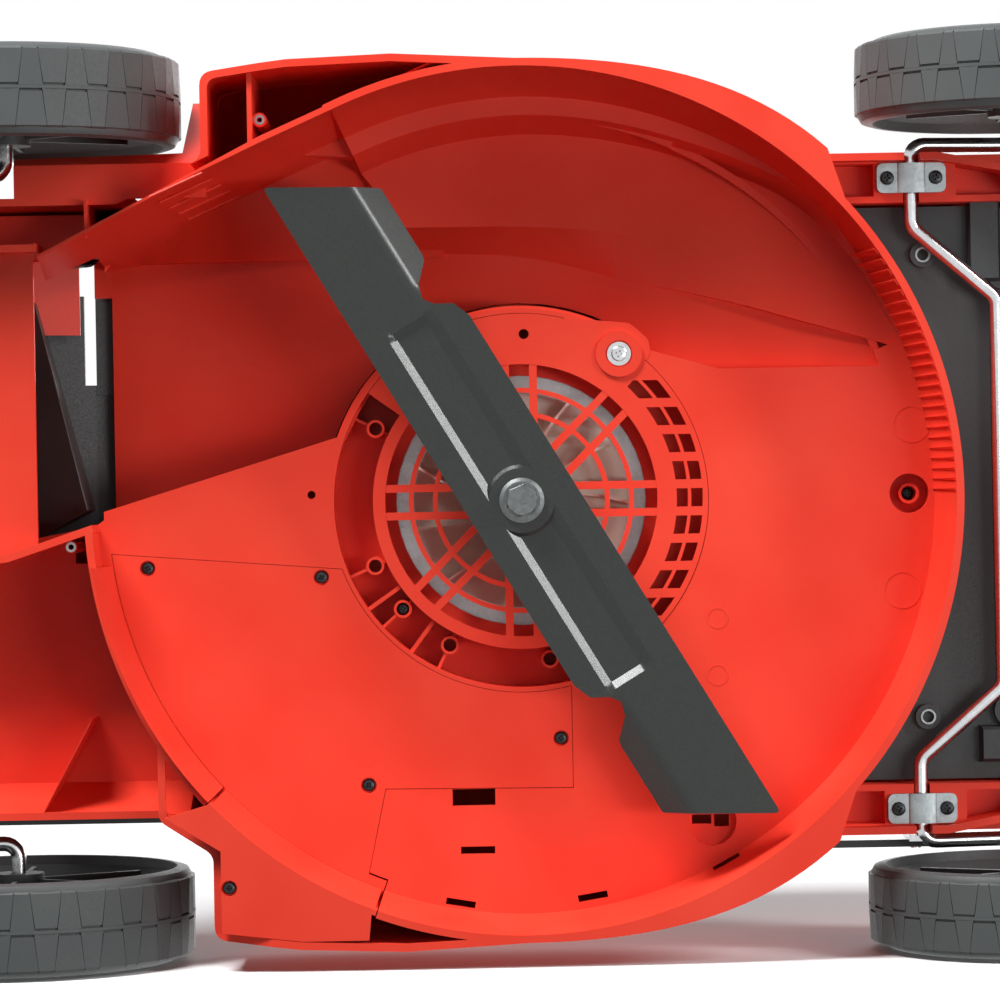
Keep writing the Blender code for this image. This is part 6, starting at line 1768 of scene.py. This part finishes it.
finished("threaded_inserts", beside(*pale_rings), GALVANISED, "deck", sharp=30)
finished("front_cover_plate", cover, BLACK_PP, "deck", ["front_cover"], edge=0.0006)

# %% [markdown]
# ## Fan
#
# The motor's fan sits behind the grille and blows the cooling air out. It is moulded in pale nylon: a hub, a
# back disc and eleven blades that lean against the turn.

# %% Fan
FAN_TOP, FAN_HEIGHT, FAN_RADIUS = 0.102, 0.016, 0.061
FAN_BLADES, BLADE_PARTS, NYLON_THICKNESS = 11, 8, 0.0016
low = FAN_TOP - FAN_HEIGHT
parts = [
    ring(0.0083, 0.015, low, FAN_TOP, 48),
    ring(0.013, FAN_RADIUS - 0.003, FAN_TOP - 0.002, FAN_TOP, 96),
]
curve = []
for k in range(BLADE_PARTS + 1):
    u = k / BLADE_PARTS
    curve.append((0.022 + (FAN_RADIUS - 0.0235) * u, -0.001 + 0.004 * u + 0.008 * u * u))
outline = curve + [(x, y + NYLON_THICKNESS) for x, y in curve[::-1]]
for i in range(FAN_BLADES):
    parts.append(spun(prism(outline, low + 0.0006, FAN_TOP - 0.001), 2 * math.pi * i / FAN_BLADES))
finished("fan", fused(*parts), FAN_NYLON, "blade_rotor", ["cooling_fan"], edge=0.0002)

# %% [markdown]
# ## Pieces that start from their CAD solid
#
# The hood, the handle and the switch have their right shape in the CAD model, but with sharp edges. A copy
# of such a mesh is merged and its flat faces are made whole again. Its edges are then rounded as a mould or
# a press leaves them, and details are joined to it. The CAD node itself stays as it is, hidden.

# %% Copy of a node
def copied(node):
    """The node's mesh round the blade's axis, merged and with its flat faces whole."""
    mesh = bmesh.new()
    mesh.from_mesh(bpy.data.objects[node].data)
    bmesh.ops.remove_doubles(mesh, verts=mesh.verts, dist=1e-6)
    bmesh.ops.dissolve_limit(mesh, angle_limit=math.radians(0.5), verts=mesh.verts, edges=mesh.edges)
    return shift(closed(mesh), 0, -BLADE_Y, 0)


# %% [markdown]
# ## Rear flap
#
# The flap closes the chute and swings up when the bag is hung on. Flat ribs on it follow the slope of the
# roof, and a slot near its hinge lets the floor show through. Under it sits a smooth deflector, a plate
# whose lower side is tilted, in the same black plastic coloured grey as a painted sheen.
# A loft through two triangles gives that tilt.

# %% Rear flap with its deflector
RIB_FRONT, RIB_REAR = 0.2450, 0.3500
flap = copied("rear_flap")
patch = [(0.2235, 0.1588), (0.2350, 0.1556), (0.2350, 0.1588), (0.2235, 0.1615)]
flap = fused(flap, side_prism(patch, -0.1150, -0.0630))
rib = [(RIB_FRONT, roof_at(RIB_FRONT) + 0.0030), (RIB_REAR, roof_at(RIB_REAR) + 0.0030)]
rib += [(RIB_REAR, roof_at(RIB_REAR) + 0.0052), (RIB_FRONT + 0.0020, roof_at(RIB_FRONT + 0.0020) + 0.0058)]
for i in range(7):
    x = -0.105 + 0.035 * i
    flap = fused(flap, side_prism(rib, x - 0.0010, x + 0.0010))
flap = less(flap, box((-0.1200, 0.2351, 0.1300), (-0.0684, 0.2412, 0.1700)))
finished("flap", flap, BLACK_PP, "flap", ["rear_flap"], edge=0.0004)
corners = [(-0.1140, 0.2655), (0.0160, 0.2655), (0.0010, 0.2365)]
low_side = [(x, y, z) for (x, y), z in zip(corners, (0.1250, 0.1250, 0.1080))]
deflector = loft([low_side, [(x, y, roof_at(y) + 0.0002) for x, y in corners]])
# The deflector's grey colour is a painted sheen on black plastic.
finished("deflector", deflector, BLACK_PP_PAINTED_SHEEN, "flap", edge=0.0006)

# %% [markdown]
# ## Hood, handle, switch and levers
#
# The photograph doesn't show these pieces, so they keep the shape of their CAD solid. One table says which
# body carries each of them and which slot of the library it belongs to.

# %% Hood, handle, switch and levers
CARRIED = {
    "deck": {
        "black_plastic": ["motor_hood"],
        "plain_steel": ["height_quadrant"],
        "tube_steel": ["lower_handle_left", "lower_handle_right"],
        "zinc_steel": ["handle_bolt_left", "handle_bolt_right"],
    },
    "rear_axle": {"plain_steel": ["height_lever"], "black_plastic": ["height_lever_grip"]},
    "tie_rod": {"tube_steel": ["height_tie_rod"]},
    "upper_handle": {
        "tube_steel": ["upper_handle_tube"],
        "black_plastic": ["switch_box_front", "switch_box_back", "power_inlet", "cable_hook"],
        "grip_rubber": ["handle_grip"],
    },
    "start_lever": {"red_plastic": ["start_lever_bar"]},
    "lock_button": {"red_plastic": ["lock_off_button"]},
    "left_wing_knob": {"black_plastic": ["handle_knob_left"]},
    "right_wing_knob": {"black_plastic": ["handle_knob_right"]},
}
for body, slots in CARRIED.items():
    for slot, nodes in slots.items():
        for node in nodes:
            finish = next(finish for finish, names in FINISH_OF_NODE.items() if node in names)
            finished(node + "_shape", copied(node), finish, body, [node], sharp=30, edge=0.0005)

# %% [markdown]
# ## Sizes
#
# The box round the CAD model and the box round what is seen go into one dictionary.

# %% Sizes
size = {"cad_box": [list(v) for v in cad_box], "visual_box": [list(v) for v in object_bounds()]}
